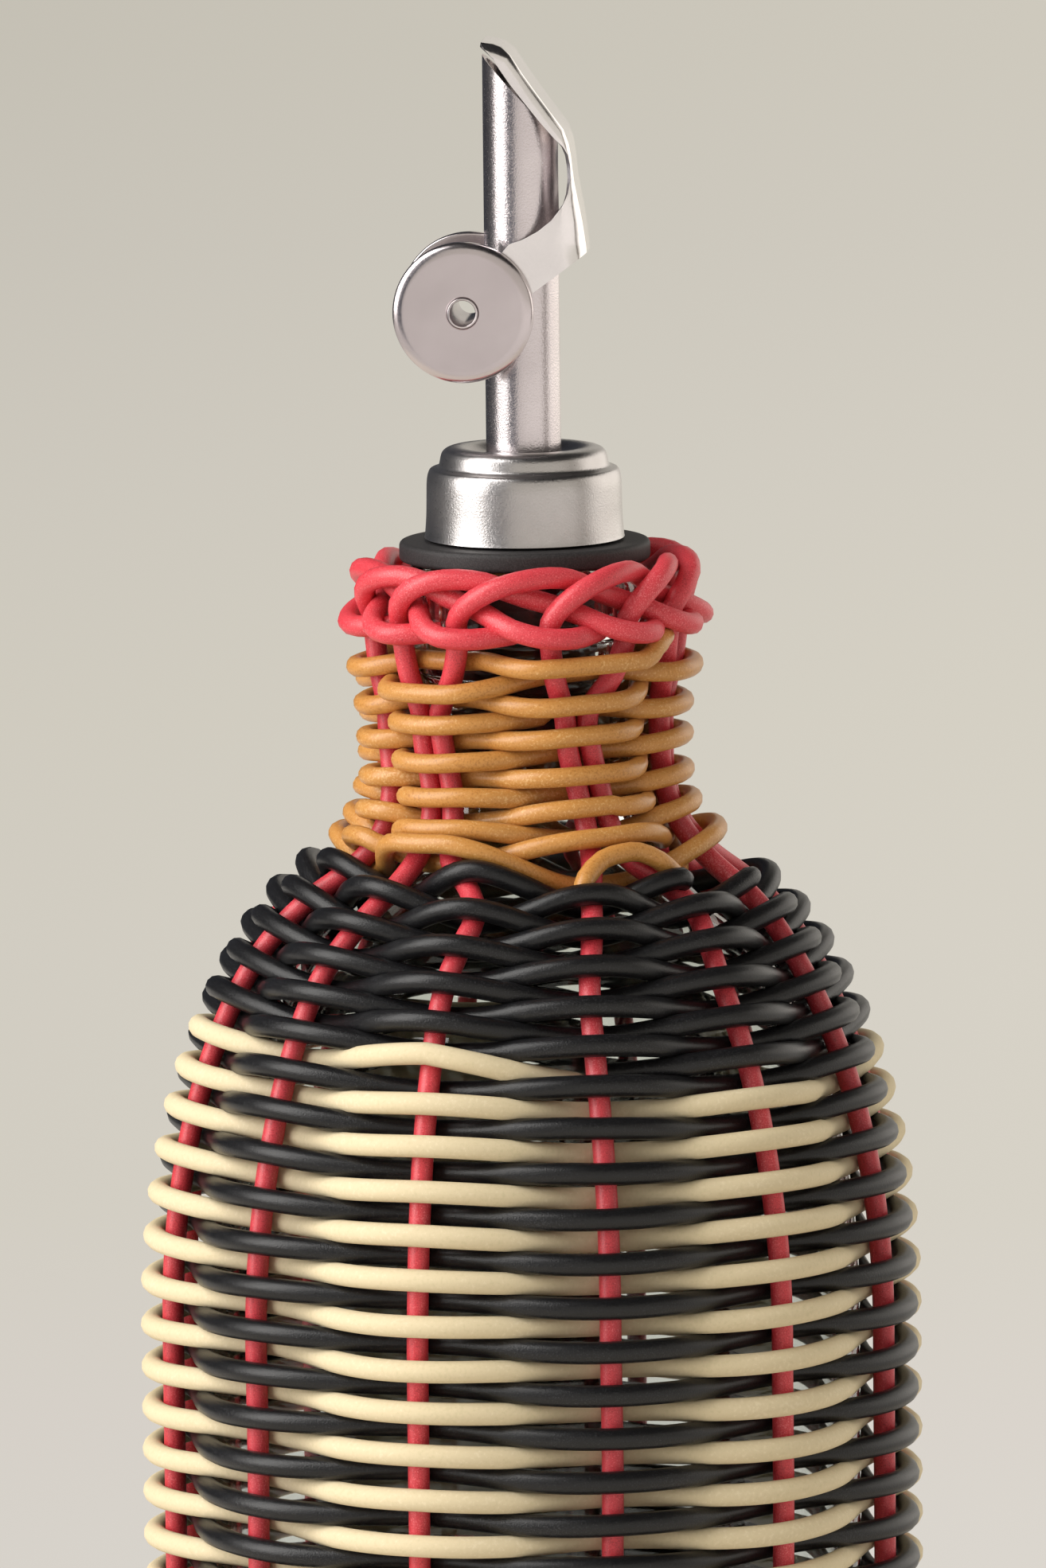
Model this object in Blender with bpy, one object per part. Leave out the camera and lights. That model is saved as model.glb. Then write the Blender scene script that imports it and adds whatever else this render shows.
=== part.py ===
"""Woven oil cruet: a glass bottle in a cover woven from round cords, with a self-closing steel pourer.

Lengths are in metres and +Z is up. The origin is the middle of the foot, on the table. The spout's
tip points to -X, the front of the object faces -Y, and angles round the bottle run from the front
towards +X.
"""
import math

import bmesh
import bpy
from mathutils import Matrix, Vector

MM = 0.001

# Gap between pieces that touch on the real object, and how far a cutter runs past what it cuts
SEAT_GAP = 0.3 * MM
CUT_OVERRUN = 2.0 * MM
MERGE_DISTANCE = 0.002 * MM
SMOOTH_ANGLE = math.radians(40)

# Cords: half the width across the corners of each kind, and the air left between cords that pass
STAKE_RADIUS = 1.05 * MM
WEAVER_RADIUS = 1.08 * MM
NECK_WEAVER_RADIUS = 0.98 * MM
FRONT_PASS_GAP = 0.87 * MM
BACK_PASS_GAP = 0.27 * MM
NECK_PASS_GAP = 0.37 * MM
WEAVE_ROW_GAP = 0.15 * MM
BASE_ROW_GAP = 0.34 * MM
NECK_ROW_GAP = 0.04 * MM
FRONT_PASS = STAKE_RADIUS + WEAVER_RADIUS + FRONT_PASS_GAP
BACK_PASS = STAKE_RADIUS + WEAVER_RADIUS + BACK_PASS_GAP
NECK_PASS = STAKE_RADIUS + NECK_WEAVER_RADIUS + NECK_PASS_GAP
WEAVE_PITCH = 2 * (2 * WEAVER_RADIUS + WEAVE_ROW_GAP)
BASE_WEAVE_PITCH = 2 * (2 * WEAVER_RADIUS + BASE_ROW_GAP)
NECK_PITCH = 2 * NECK_WEAVER_RADIUS + NECK_ROW_GAP

# Base: the six cords cross in two bundles of three, then fan out to the twelve stakes
FLOOR_GAP = 0.42 * MM
BUNDLE_GAP = 0.4 * MM
BUNDLE_SIDE_GAP = 0.6 * MM
BUNDLE_HALF_LENGTH = 6.0 * MM
BASE_STAKE_Z = FLOOR_GAP + WEAVER_RADIUS + BACK_PASS
LOWER_BUNDLE_Z = BASE_STAKE_Z - STAKE_RADIUS - BUNDLE_GAP / 2
UPPER_BUNDLE_Z = BASE_STAKE_Z + STAKE_RADIUS + BUNDLE_GAP / 2
BUNDLE_SPACING = 2 * STAKE_RADIUS + BUNDLE_SIDE_GAP
BUNDLE_ROWS = (-1, 0, 1)
LOWER_BUNDLE_STAKE_NUMBER = 1
UPPER_BUNDLE_STAKE_NUMBER = 4

# Glass bottle, which stands on the base weave
GLASS_FLOOR_GAP = 0.42 * MM
GLASS_BODY_RADIUS = 35.2 * MM
GLASS_WALL = 2.4 * MM
GLASS_FLOOR_THICKNESS = 3.4 * MM
GLASS_HEEL_RADIUS = 5.0 * MM
GLASS_INNER_HEEL_RADIUS = 4.0 * MM
GLASS_NECK_RADIUS = 10.9 * MM
GLASS_NECK_WALL = 2.0 * MM
GLASS_BEAD_RISE = 1.6 * MM
GLASS_BEAD_HEIGHT = 7.0 * MM
GLASS_BEAD_EDGE = 1.0 * MM
GLASS_BOTTOM_Z = BASE_STAKE_Z + BACK_PASS + WEAVER_RADIUS + GLASS_FLOOR_GAP
GLASS_BEAD_RADIUS = GLASS_NECK_RADIUS + GLASS_BEAD_RISE
NECK_BORE_RADIUS = GLASS_NECK_RADIUS - GLASS_NECK_WALL

# Shoulder, a part of an ellipse that a short bend joins to the neck
BODY_HEIGHT = 110.2 * MM
GLASS_SHOULDER_HEIGHT = 44.5 * MM
SHOULDER_STANDOFF = 4.5 * MM
SHOULDER_CENTRE_RADIUS = 14.0 * MM
SHOULDER_SWEEP = math.radians(71.3)
STAKE_NECK_BEND = 7.0 * MM
GLASS_NECK_BEND = 6.0 * MM
NECK_LENGTH = 31.0 * MM
SHOULDER_START_Z = GLASS_BOTTOM_Z + BODY_HEIGHT
STAKE_SHOULDER_HEIGHT = GLASS_SHOULDER_HEIGHT + SHOULDER_STANDOFF
SHOULDER_TOP_Z = SHOULDER_START_Z + STAKE_SHOULDER_HEIGHT
GLASS_TOP_Z = SHOULDER_TOP_Z + NECK_LENGTH

# Stakes, the upright cords: the circles that they stand on, and the angles that they stand at. On
# the neck they close up in groups. The whole cover sits turned a little against the spout.
STAKE_COUNT = 12
STAKE_PITCH = 2 * math.pi / STAKE_COUNT
COVER_GAP = 0.62 * MM
NECK_GAP = 0.32 * MM
NECK_PAIR_GAP = 0.55 * MM
COVER_TURN = math.radians(4.0)
FIRST_BODY_ANGLE = COVER_TURN + math.radians(-78)
FIRST_RIM_ANGLE = COVER_TURN + math.radians(-84)
NECK_GROUP_COUNTS = (1, 2, 2, 2, 2, 2, 1)
NECK_GROUP_ANGLES = [COVER_TURN + math.radians(angle) for angle in (-74, -40, 21, 80, 140, 200, 250)]
BODY_STAKE_CIRCLE = GLASS_BODY_RADIUS + COVER_GAP + WEAVER_RADIUS + BACK_PASS
NECK_STAKE_CIRCLE = GLASS_NECK_RADIUS + NECK_GAP + NECK_WEAVER_RADIUS + NECK_PASS
NECK_PAIR_SPACING = 2 * STAKE_RADIUS + NECK_PAIR_GAP

# Rim border: each stake leans over the next one, runs behind two more and crosses low in front.
# Shares are of the stake pitch, of the border's depth and of its height.
RIM_BEAD_GAP = 0.85 * MM
RIM_DEPTH = 4.6 * MM
RIM_HEIGHT = 7.0 * MM
RIM_ABOVE_LIP = 0.3 * MM
FLARE_HEIGHT = 7.3 * MM
RISER_DEPTH_SHARE = 0.43
RIM_BORDER_SHARES = (
    (0.00, RISER_DEPTH_SHARE, 0.00),
    (0.12, 0.50, 0.33),
    (0.35, 0.74, 0.73),
    (0.65, 0.84, 0.93),
    (1.00, 0.78, 1.00),
    (1.25, 0.52, 1.00),
    (1.45, 0.22, 0.94),
    (1.75, 0.04, 0.80),
    (2.05, 0.00, 0.63),
    (2.25, 0.00, 0.46),
    (2.45, 0.37, 0.27),
    (2.75, 0.87, 0.09),
    (3.05, 1.00, 0.00),
    (3.35, 0.78, -0.06),
    (3.62, 0.48, -0.16),
)
RIM_BACK_CIRCLE = GLASS_BEAD_RADIUS + RIM_BEAD_GAP + STAKE_RADIUS
RISER_CIRCLE = RIM_BACK_CIRCLE + RIM_DEPTH * RISER_DEPTH_SHARE
RIM_TOP_Z = GLASS_TOP_Z + RIM_ABOVE_LIP
RISER_Z = RIM_TOP_Z - RIM_HEIGHT
FLARE_START_Z = RISER_Z - FLARE_HEIGHT

# Where the weavers start and end, counted from the top of the shoulder, where the stakes close up, and
# where they lean: the foot of the neck is turned a little against the body and the rim
FIRST_WEAVE_STAKE = 3
NECK_TWIST = math.radians(4.5)
FAN_INSIDE_HALF = 4.0 * MM
FAN_TO_WEAVE = 2.5 * MM
BASE_BEND_RADIUS = 4.6 * MM
BASE_WEAVE_MARGIN = 1.5 * MM
WEAVE_START_RISE = 0.2 * MM
CREAM_END_DROP = 19.0 * MM
BLACK_END_DROP = 1.6 * MM
NECK_WEAVE_RISE = 2.2 * MM
NECK_WEAVE_TOP_DROP = 1.9 * MM
PAIRING_DROP = 4.0 * MM
PAIRING_HEIGHT = 7.0 * MM
TWIST_START_DROP = 19.0 * MM
TWIST_FULL_DROP = 5.0 * MM
TWIST_EASE_RISE = 1.0 * MM
NARROW_CIRCLE = 28.0 * MM
PLATEAU_SHARE = 0.95
NECK_PLATEAU_EXTRA = 0.1 * MM
PLATEAU_HALF_WIDTH = STAKE_RADIUS * PLATEAU_SHARE
NECK_PLATEAU = STAKE_RADIUS + NECK_PLATEAU_EXTRA
FAN_RADIUS = GLASS_BODY_RADIUS / 2 - FAN_INSIDE_HALF
BASE_WEAVE_START = FAN_RADIUS + FAN_TO_WEAVE
BASE_BEND_START = BODY_STAKE_CIRCLE - BASE_BEND_RADIUS
BASE_WEAVE_END = BASE_BEND_START - BASE_WEAVE_MARGIN
WEAVE_START_Z = BASE_STAKE_Z + BASE_BEND_RADIUS + WEAVE_START_RISE
CREAM_END_Z = SHOULDER_TOP_Z - CREAM_END_DROP
BLACK_END_Z = SHOULDER_TOP_Z - BLACK_END_DROP
NECK_WEAVE_START_Z = SHOULDER_TOP_Z + NECK_WEAVE_RISE
NECK_WEAVE_END_Z = RISER_Z - NECK_WEAVE_TOP_DROP
PAIRING_START_Z = SHOULDER_TOP_Z - PAIRING_DROP
PAIRING_END_Z = PAIRING_START_Z + PAIRING_HEIGHT
TWIST_START_Z = SHOULDER_TOP_Z - TWIST_START_DROP
TWIST_FULL_Z = SHOULDER_TOP_Z - TWIST_FULL_DROP
TWIST_EASE_Z = SHOULDER_TOP_Z + TWIST_EASE_RISE

# Foot ring under the stakes
FOOT_INSET = 3.0 * MM
FOOT_HALF_WIDTH = 1.4 * MM
FOOT_CHAMFER = 0.5 * MM
FOOT_RADIUS = BODY_STAKE_CIRCLE - FOOT_INSET

# Rubber stopper
FLANGE_OVERHANG = 0.9 * MM
FLANGE_THICKNESS = 2.1 * MM
FLANGE_EDGE = 0.4 * MM
PLUG_LENGTH = 20.0 * MM
RIB_DEPTH = 1.2 * MM
RIB_COUNT = 3
RIB_HEIGHT = 1.6 * MM
RIB_SPACING = 5.2 * MM
FIRST_RIB_DROP = 3.0 * MM
FLANGE_RADIUS = GLASS_BEAD_RADIUS + FLANGE_OVERHANG
FLANGE_Z = GLASS_TOP_Z + SEAT_GAP
PLUG_FOOT_Z = FLANGE_Z - PLUG_LENGTH
RIB_RADIUS = NECK_BORE_RADIUS - SEAT_GAP
PLUG_CORE_RADIUS = RIB_RADIUS - RIB_DEPTH

# Pressed steel cap, a shell in two steps over the stopper's boss
CAP_WALL = 0.7 * MM
CAP_LEDGE = 3.0 * MM
CAP_STEP_IN = 1.5 * MM
CAP_HEIGHT = 9.2 * MM
CAP_TOP_STEP = 2.2 * MM
CAP_ROUNDING = 1.2 * MM
CAP_FOOT_FLARE = 0.2 * MM
BOSS_HEADROOM = 3.3 * MM
CAP_RADIUS = FLANGE_RADIUS - CAP_LEDGE
CAP_STEP_RADIUS = CAP_RADIUS - CAP_STEP_IN
CAP_FOOT_Z = FLANGE_Z + FLANGE_THICKNESS + SEAT_GAP
CAP_TOP_Z = CAP_FOOT_Z + CAP_HEIGHT
CAP_STEP_Z = CAP_TOP_Z - CAP_TOP_STEP

# Spout tube, cut on a slant at its mouth, with an air tube along its bore
TUBE_RADIUS = 4.0 * MM
TUBE_WALL = 0.4 * MM
PIVOT_RISE = 18.0 * MM
MOUTH_RISE = 24.4 * MM
MOUTH_SLANT = math.radians(47)
AIR_TUBE_RADIUS = 1.0 * MM
AIR_TUBE_BORE = 0.6 * MM
AIR_TUBE_DROP = 5.4 * MM
TUBE_BORE = TUBE_RADIUS - TUBE_WALL
PIVOT_Z = CAP_TOP_Z + PIVOT_RISE
TUBE_TIP_Z = PIVOT_Z + MOUTH_RISE
MOUTH_FALL = 2 * TUBE_RADIUS * math.tan(MOUTH_SLANT)

# Self-closing flap: a folded sheet that turns on two pins through the tube's wall
PIN_RADIUS = 0.8 * MM
PIN_CLEARANCE = 0.3 * MM
SHEET = 0.5 * MM
SHEET_ROUNDING = 0.3 * MM
CHEEK_GAP = 0.4 * MM
ARM_EYE_RADIUS = 2.8 * MM
CHEEK_OUTSIDE = TUBE_RADIUS + CHEEK_GAP + SHEET
PIN_HOLE_RADIUS = PIN_RADIUS + PIN_CLEARANCE

# Weights at the other end of the flap, and the hollow rivet that holds them
RIVET_STOP_GAP = 0.45 * MM
RIVET_DROP = 3.0 * MM
RIVET_RADIUS = 1.65 * MM
RIVET_WALL = 0.3 * MM
RIVET_HEAD_RIM = 0.6 * MM
RIVET_HEAD_THICKNESS = 0.35 * MM
WEIGHT_RADIUS = 7.5 * MM
WEIGHT_THICKNESS = 1.9 * MM
WEIGHT_CHAMFER = 0.4 * MM
RIVET_BORE = RIVET_RADIUS - RIVET_WALL
RIVET_HEAD_RADIUS = RIVET_RADIUS + RIVET_HEAD_RIM
RIVET_X = -(TUBE_RADIUS + RIVET_STOP_GAP + RIVET_RADIUS)
RIVET_Z = PIVOT_Z - RIVET_DROP

# Points of the flap, all as shares of the tube's radius. Those at the mouth have their height counted
# from the tube's tip, the others from the pivot.
FLAP_ROOF_SHARES = ((-1.06, 0.45), (-0.38, 0.15), (0.28, -0.74), (1.05, -1.89), (1.25, -2.65))
FLAP_BACK_SHARES = ((1.33, 2.48), (1.52, 1.75), (1.72, 0.72))
FLAP_UNDER_SHARES = ((1.22, 0.38), (0.35, -0.43))
FLAP_FRONT_SHARES = ((-0.42, 0.93), (0.30, 1.15), (0.92, 1.76), (1.16, 2.30), (1.21, 2.88))
FLAP_LIP_SHARES = ((1.17, -2.71), (0.72, -2.17), (-0.03, -1.20), (-0.35, -0.80))
ARM_EYE_START = math.radians(-80)
ARM_EYE_END = math.radians(-240)
ARM_EYE_STEPS = 4

SPIN_STEPS = 24
SMALL_SPIN_STEPS = 16
SHOULDER_STEPS = 7
BEND_STEPS = 3
BASE_BEND_STEPS = 2


def finish(name, colour, roughness, metallic=0.0, transmission=0.0):
    """A Principled material in one plain colour."""
    material = bpy.data.materials.new(name)
    material.use_nodes = True
    shader = material.node_tree.nodes["Principled BSDF"]
    shader.inputs["Base Color"].default_value = (*colour, 1.0)
    shader.inputs["Roughness"].default_value = roughness
    shader.inputs["Metallic"].default_value = metallic
    shader.inputs["Transmission Weight"].default_value = transmission
    return material


def add_object(name, data, material):
    obj = bpy.data.objects.new(name, data)
    bpy.context.scene.collection.objects.link(obj)
    data.materials.append(material)
    return obj


def add_mesh(name, shape, material):
    """Turn a finished bmesh into an object with smooth round faces."""
    bmesh.ops.remove_doubles(shape, verts=shape.verts, dist=MERGE_DISTANCE)
    bmesh.ops.recalc_face_normals(shape, faces=shape.faces)
    mesh = bpy.data.meshes.new(name)
    shape.to_mesh(mesh)
    shape.free()
    mesh.shade_smooth()
    mesh.set_sharp_from_angle(angle=SMOOTH_ANGLE)
    return add_object(name, mesh, material)


def turned(name, profile, material, steps=SPIN_STEPS, closed=True):
    """Spin a profile of (radius, height) points about the Z axis."""
    shape = bmesh.new()
    verts = [shape.verts.new((radius, 0, z)) for radius, z in profile]
    edges = [shape.edges.new(pair) for pair in zip(verts, verts[1:])]
    if closed:
        edges.append(shape.edges.new((verts[-1], verts[0])))
    bmesh.ops.spin(shape, geom=verts + edges, cent=(0, 0, 0), axis=(0, 0, 1), angle=2 * math.pi,
                   steps=steps, use_merge=True)
    return add_mesh(name, shape, material)


def prism(name, outline, half_width, material):
    """Extrude an outline of (x, z) points across the object, from -Y to +Y."""
    shape = bmesh.new()
    verts = [shape.verts.new((x, -half_width, z)) for x, z in outline]
    face = shape.faces.new(verts)
    grown = bmesh.ops.extrude_face_region(shape, geom=[face])
    moved = [item for item in grown["geom"] if isinstance(item, bmesh.types.BMVert)]
    bmesh.ops.translate(shape, verts=moved, vec=(0, 2 * half_width, 0))
    return add_mesh(name, shape, material)


def lay_across(obj, x, y, z):
    """Turn a piece made about Z so that its axis lies along Y, and put its middle at a place."""
    obj.data.transform(Matrix.Translation((x, y, z)) @ Matrix.Rotation(math.radians(-90), 4, "X"))


def cut(obj, cutter):
    """Take the cutter's shape out of a piece, and keep the cutter as a wire guide."""
    cutter.hide_render = True
    cutter.display_type = "WIRE"
    modifier = obj.modifiers.new("cut", "BOOLEAN")
    modifier.operation = "DIFFERENCE"
    modifier.solver = "EXACT"
    modifier.object = cutter


def cord(name, points, radius, material, level):
    """A cord along the points with four sides and closed ends, flat side up where it runs level."""
    curve = bpy.data.curves.new(name, "CURVE")
    curve.dimensions = "3D"
    curve.twist_mode = "Z_UP" if level else "MINIMUM"
    curve.bevel_depth = radius
    curve.bevel_resolution = 0
    curve.use_fill_caps = True
    spline = curve.splines.new("POLY")
    spline.points.add(len(points) - 1)
    for knot, point in zip(spline.points, points):
        knot.co = (*point, 1.0)
        knot.tilt = math.radians(45)
    return add_object(name, curve, material)


def around(radius, angle, z):
    """The point at an angle round the bottle, counted from the front towards +X."""
    return Vector((radius * math.sin(angle), -radius * math.cos(angle), z))


def blend(start, end, share):
    share = min(max(share, 0.0), 1.0)
    return start + (end - start) * share


def shoulder_line(body_radius, height, neck_radius, bend_length):
    """Points (radius, z) from the straight body, over the shoulder, to the straight neck."""
    points = []
    across = body_radius - SHOULDER_CENTRE_RADIUS
    for step in range(SHOULDER_STEPS + 1):
        turn = SHOULDER_SWEEP * step / SHOULDER_STEPS
        radius = SHOULDER_CENTRE_RADIUS + across * math.cos(turn)
        points.append((radius, SHOULDER_START_Z + height * math.sin(turn)))
    start = Vector(points[-1])
    slope = height * math.cos(SHOULDER_SWEEP) / (across * math.sin(SHOULDER_SWEEP))
    corner = Vector((neck_radius, start.y + (start.x - neck_radius) * slope))
    end = Vector((neck_radius, corner.y + bend_length))
    for step in range(1, BEND_STEPS + 1):
        share = step / BEND_STEPS
        point = start.lerp(corner, share).lerp(corner.lerp(end, share), share)
        points.append(tuple(point))
    return points


class Outline:
    """A line of (radius, z) points that is walked by the length along it."""

    def __init__(self, points):
        self.points = [Vector(point) for point in points]
        self.lengths = [0.0]
        for start, end in zip(self.points, self.points[1:]):
            self.lengths.append(self.lengths[-1] + (end - start).length)

    def piece_at(self, length):
        for index, end in enumerate(self.lengths[1:]):
            if length <= end:
                return index
        return len(self.points) - 2

    def place(self, length, offset):
        """The point at a length along the line, moved out from the surface by the offset."""
        index = self.piece_at(length)
        start, end = self.points[index], self.points[index + 1]
        share = (length - self.lengths[index]) / (end - start).length
        outward = Vector(((end - start).y, (start - end).x)).normalized()
        return start.lerp(end, share) + outward * offset

    def length_at(self, z):
        for index, (start, end) in enumerate(zip(self.points, self.points[1:])):
            if start.y <= z <= end.y:
                share = (z - start.y) / (end.y - start.y)
                return blend(self.lengths[index], self.lengths[index + 1], share)
        return self.lengths[-1]


def neck_groups():
    """The stakes that stand together on the neck, and the angle that each stake has there."""
    groups = []
    angles = []
    for count, middle in zip(NECK_GROUP_COUNTS, NECK_GROUP_ANGLES):
        groups.append(tuple(range(len(angles), len(angles) + count)))
        first = middle - (count - 1) / 2 * NECK_PAIR_SPACING / NECK_STAKE_CIRCLE
        angles += [first + place * NECK_PAIR_SPACING / NECK_STAKE_CIRCLE for place in range(count)]
    return groups, angles


def stake_angle(stake, z):
    """A stake stands evenly spaced on the body, close to its partner on the neck, evenly in the rim."""
    body = FIRST_BODY_ANGLE + STAKE_PITCH * stake
    neck = neck_groups()[1][stake]
    rim = FIRST_RIM_ANGLE + STAKE_PITCH * stake
    if z < FLARE_START_Z:
        twist = blend(0, NECK_TWIST, (z - TWIST_START_Z) / (TWIST_FULL_Z - TWIST_START_Z))
        twist = blend(twist, 0, (z - TWIST_EASE_Z) / (FLARE_START_Z - TWIST_EASE_Z))
        return blend(body, neck, (z - PAIRING_START_Z) / (PAIRING_END_Z - PAIRING_START_Z)) + twist
    return blend(neck, rim, (z - FLARE_START_Z) / (RISER_Z - FLARE_START_Z))


def woven_points(outline, span, pitch, groups, sides, passes, plateau, wide_circle, first=0):
    """The route of a cord that passes the groups of stakes in turn, on the sides given for each step."""
    start, end = span
    front_pass, back_pass = passes
    points = []
    for step in range(first, first + int((end - start) / pitch * len(groups))):
        length = start + pitch * (step - first) / len(groups)
        turn, index = divmod(step, len(groups))
        outside = sides(step)
        place = outline.place(length, front_pass if outside else -back_pass)
        height = outline.place(length, 0.0).y
        angles = [stake_angle(stake, height) for stake in groups[index]]
        margin = plateau / place.x if place.x < wide_circle else 0.0
        edges = [min(angles) - margin, max(angles) + margin]
        for angle in edges if edges[0] < edges[1] else edges[:1]:
            points.append(around(place.x, angle + 2 * math.pi * turn, place.y))
    return points


def rim_points(stake):
    """The route of one stake's end through the rim border."""
    points = []
    first = FIRST_RIM_ANGLE + STAKE_PITCH * stake
    for turn_share, depth_share, height_share in RIM_BORDER_SHARES:
        radius = RIM_BACK_CIRCLE + RIM_DEPTH * depth_share
        z = RISER_Z + RIM_HEIGHT * height_share
        points.append(around(radius, first + STAKE_PITCH * turn_share, z))
    return points


def side_points(stake, outline):
    """The route of one stake up the side, over the shoulder and neck and through the rim."""
    points = [around(point.x, stake_angle(stake, point.y), point.y) for point in outline.points]
    return points + rim_points(stake)


def crossing_points(middle_angle, row, bundle_z):
    """The route of one cord across the base, from one fan to the other, in the direction given."""
    across = Vector((math.sin(middle_angle), -math.cos(middle_angle), 0))
    aside = Vector((math.cos(middle_angle), math.sin(middle_angle), 0))
    lift = Vector((0, 0, bundle_z))
    bundle = [across * end * BUNDLE_HALF_LENGTH + aside * row * BUNDLE_SPACING + lift for end in (-1, 1)]
    fan = STAKE_PITCH * row
    start = around(FAN_RADIUS, middle_angle + math.pi - fan, BASE_STAKE_Z)
    end = around(FAN_RADIUS, middle_angle + fan, BASE_STAKE_Z)
    return [start, *bundle, end]


def stake_outline():
    """The line that every stake follows, from the base's edge to the rim."""
    points = []
    for step in range(BASE_BEND_STEPS + 1):
        turn = math.pi / 2 * step / BASE_BEND_STEPS
        radius = BASE_BEND_START + BASE_BEND_RADIUS * math.sin(turn)
        points.append((radius, BASE_STAKE_Z + BASE_BEND_RADIUS * (1 - math.cos(turn))))
    points += shoulder_line(BODY_STAKE_CIRCLE, STAKE_SHOULDER_HEIGHT, NECK_STAKE_CIRCLE, STAKE_NECK_BEND)
    points.append((NECK_STAKE_CIRCLE, FLARE_START_Z))
    return Outline(points)


def weave_outline():
    """The stakes' line with the flare below the rim, which the neck cord follows too."""
    points = [tuple(point) for point in stake_outline().points]
    points.append((RISER_CIRCLE, RISER_Z))
    return Outline(points)


def make_stakes(material):
    """Six cords, each of which is two stakes: up one side, across the base and up another side."""
    outline = stake_outline()
    bundles = (
        (LOWER_BUNDLE_STAKE_NUMBER, LOWER_BUNDLE_Z),
        (UPPER_BUNDLE_STAKE_NUMBER, UPPER_BUNDLE_Z),
    )
    number = 0
    for middle, bundle_z in bundles:
        for row in BUNDLE_ROWS:
            number += 1
            near_stake = middle + row
            far_stake = (middle + STAKE_COUNT // 2 - row) % STAKE_COUNT
            middle_angle = FIRST_BODY_ANGLE + STAKE_PITCH * middle
            points = list(reversed(side_points(far_stake, outline)))
            points += crossing_points(middle_angle, row, bundle_z)
            points += side_points(near_stake, outline)
            cord(f"stake_cord_{number}", points, STAKE_RADIUS, material, level=False)


def make_body_weavers(black, cream):
    outline = weave_outline()
    stakes = [(stake,) for stake in range(STAKE_COUNT)]
    start = outline.length_at(WEAVE_START_Z)
    change = outline.length_at(CREAM_END_Z)
    end = outline.length_at(BLACK_END_Z)
    half_turn = WEAVE_PITCH / 2
    step_gap = WEAVE_PITCH / STAKE_COUNT
    turns = math.floor((change - start) / WEAVE_PITCH)
    resume = start + half_turn + turns * WEAVE_PITCH
    passes = (FRONT_PASS, BACK_PASS)

    def odd(step):
        return step % 2 == 1

    def even(step):
        return step % 2 == 0

    rows = (
        ("black_weaver", (start, end), odd, black),
        ("cream_weaver", (start + half_turn, resume + step_gap / 2), even, cream),
        ("shoulder_weaver", (resume, end), even, black),
    )
    for name, span, sides, material in rows:
        points = woven_points(outline, span, WEAVE_PITCH, stakes, sides, passes, PLATEAU_HALF_WIDTH,
                              NARROW_CIRCLE, FIRST_WEAVE_STAKE)
        cord(name, points, WEAVER_RADIUS, material, level=True)


def make_base_weavers(material):
    """Two cords that wind out from the crossing to the base's edge, over and under the stakes."""
    outline = Outline([(BASE_WEAVE_START, BASE_STAKE_Z), (BASE_WEAVE_END, BASE_STAKE_Z)])
    stakes = [(stake,) for stake in range(STAKE_COUNT)]
    length = BASE_WEAVE_END - BASE_WEAVE_START
    passes = (BACK_PASS, BACK_PASS)
    for name, delay, parity in (("base_weaver_a", 0.0, 0), ("base_weaver_b", BASE_WEAVE_PITCH / 2, 1)):
        def sides(step, parity=parity):
            return step % 2 == parity
        points = woven_points(outline, (delay, length), BASE_WEAVE_PITCH, stakes, sides, passes,
                              PLATEAU_HALF_WIDTH, NARROW_CIRCLE)
        cord(name, points, WEAVER_RADIUS, material, level=True)


def make_neck_weaver(material):
    """One cord round the neck: an odd number of stake groups makes it change sides every turn."""
    outline = weave_outline()
    span = (outline.length_at(NECK_WEAVE_START_Z), outline.length_at(NECK_WEAVE_END_Z))
    passes = (NECK_PASS, NECK_PASS)

    def sides(step):
        return step % 2 == 0

    groups = neck_groups()[0]
    points = woven_points(outline, span, NECK_PITCH, groups, sides, passes, NECK_PLATEAU, BODY_STAKE_CIRCLE)
    cord("neck_weaver", points, NECK_WEAVER_RADIUS, material, level=True)


def make_foot_ring(material):
    top = BASE_STAKE_Z - STAKE_RADIUS - SEAT_GAP
    inner, outer = FOOT_RADIUS - FOOT_HALF_WIDTH, FOOT_RADIUS + FOOT_HALF_WIDTH
    profile = [
        (inner, FOOT_CHAMFER),
        (inner + FOOT_CHAMFER, 0),
        (outer - FOOT_CHAMFER, 0),
        (outer, FOOT_CHAMFER),
        (outer, top - FOOT_CHAMFER),
        (outer - FOOT_CHAMFER, top),
        (inner + FOOT_CHAMFER, top),
        (inner, top - FOOT_CHAMFER),
    ]
    turned("foot_ring", profile, material)


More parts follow.
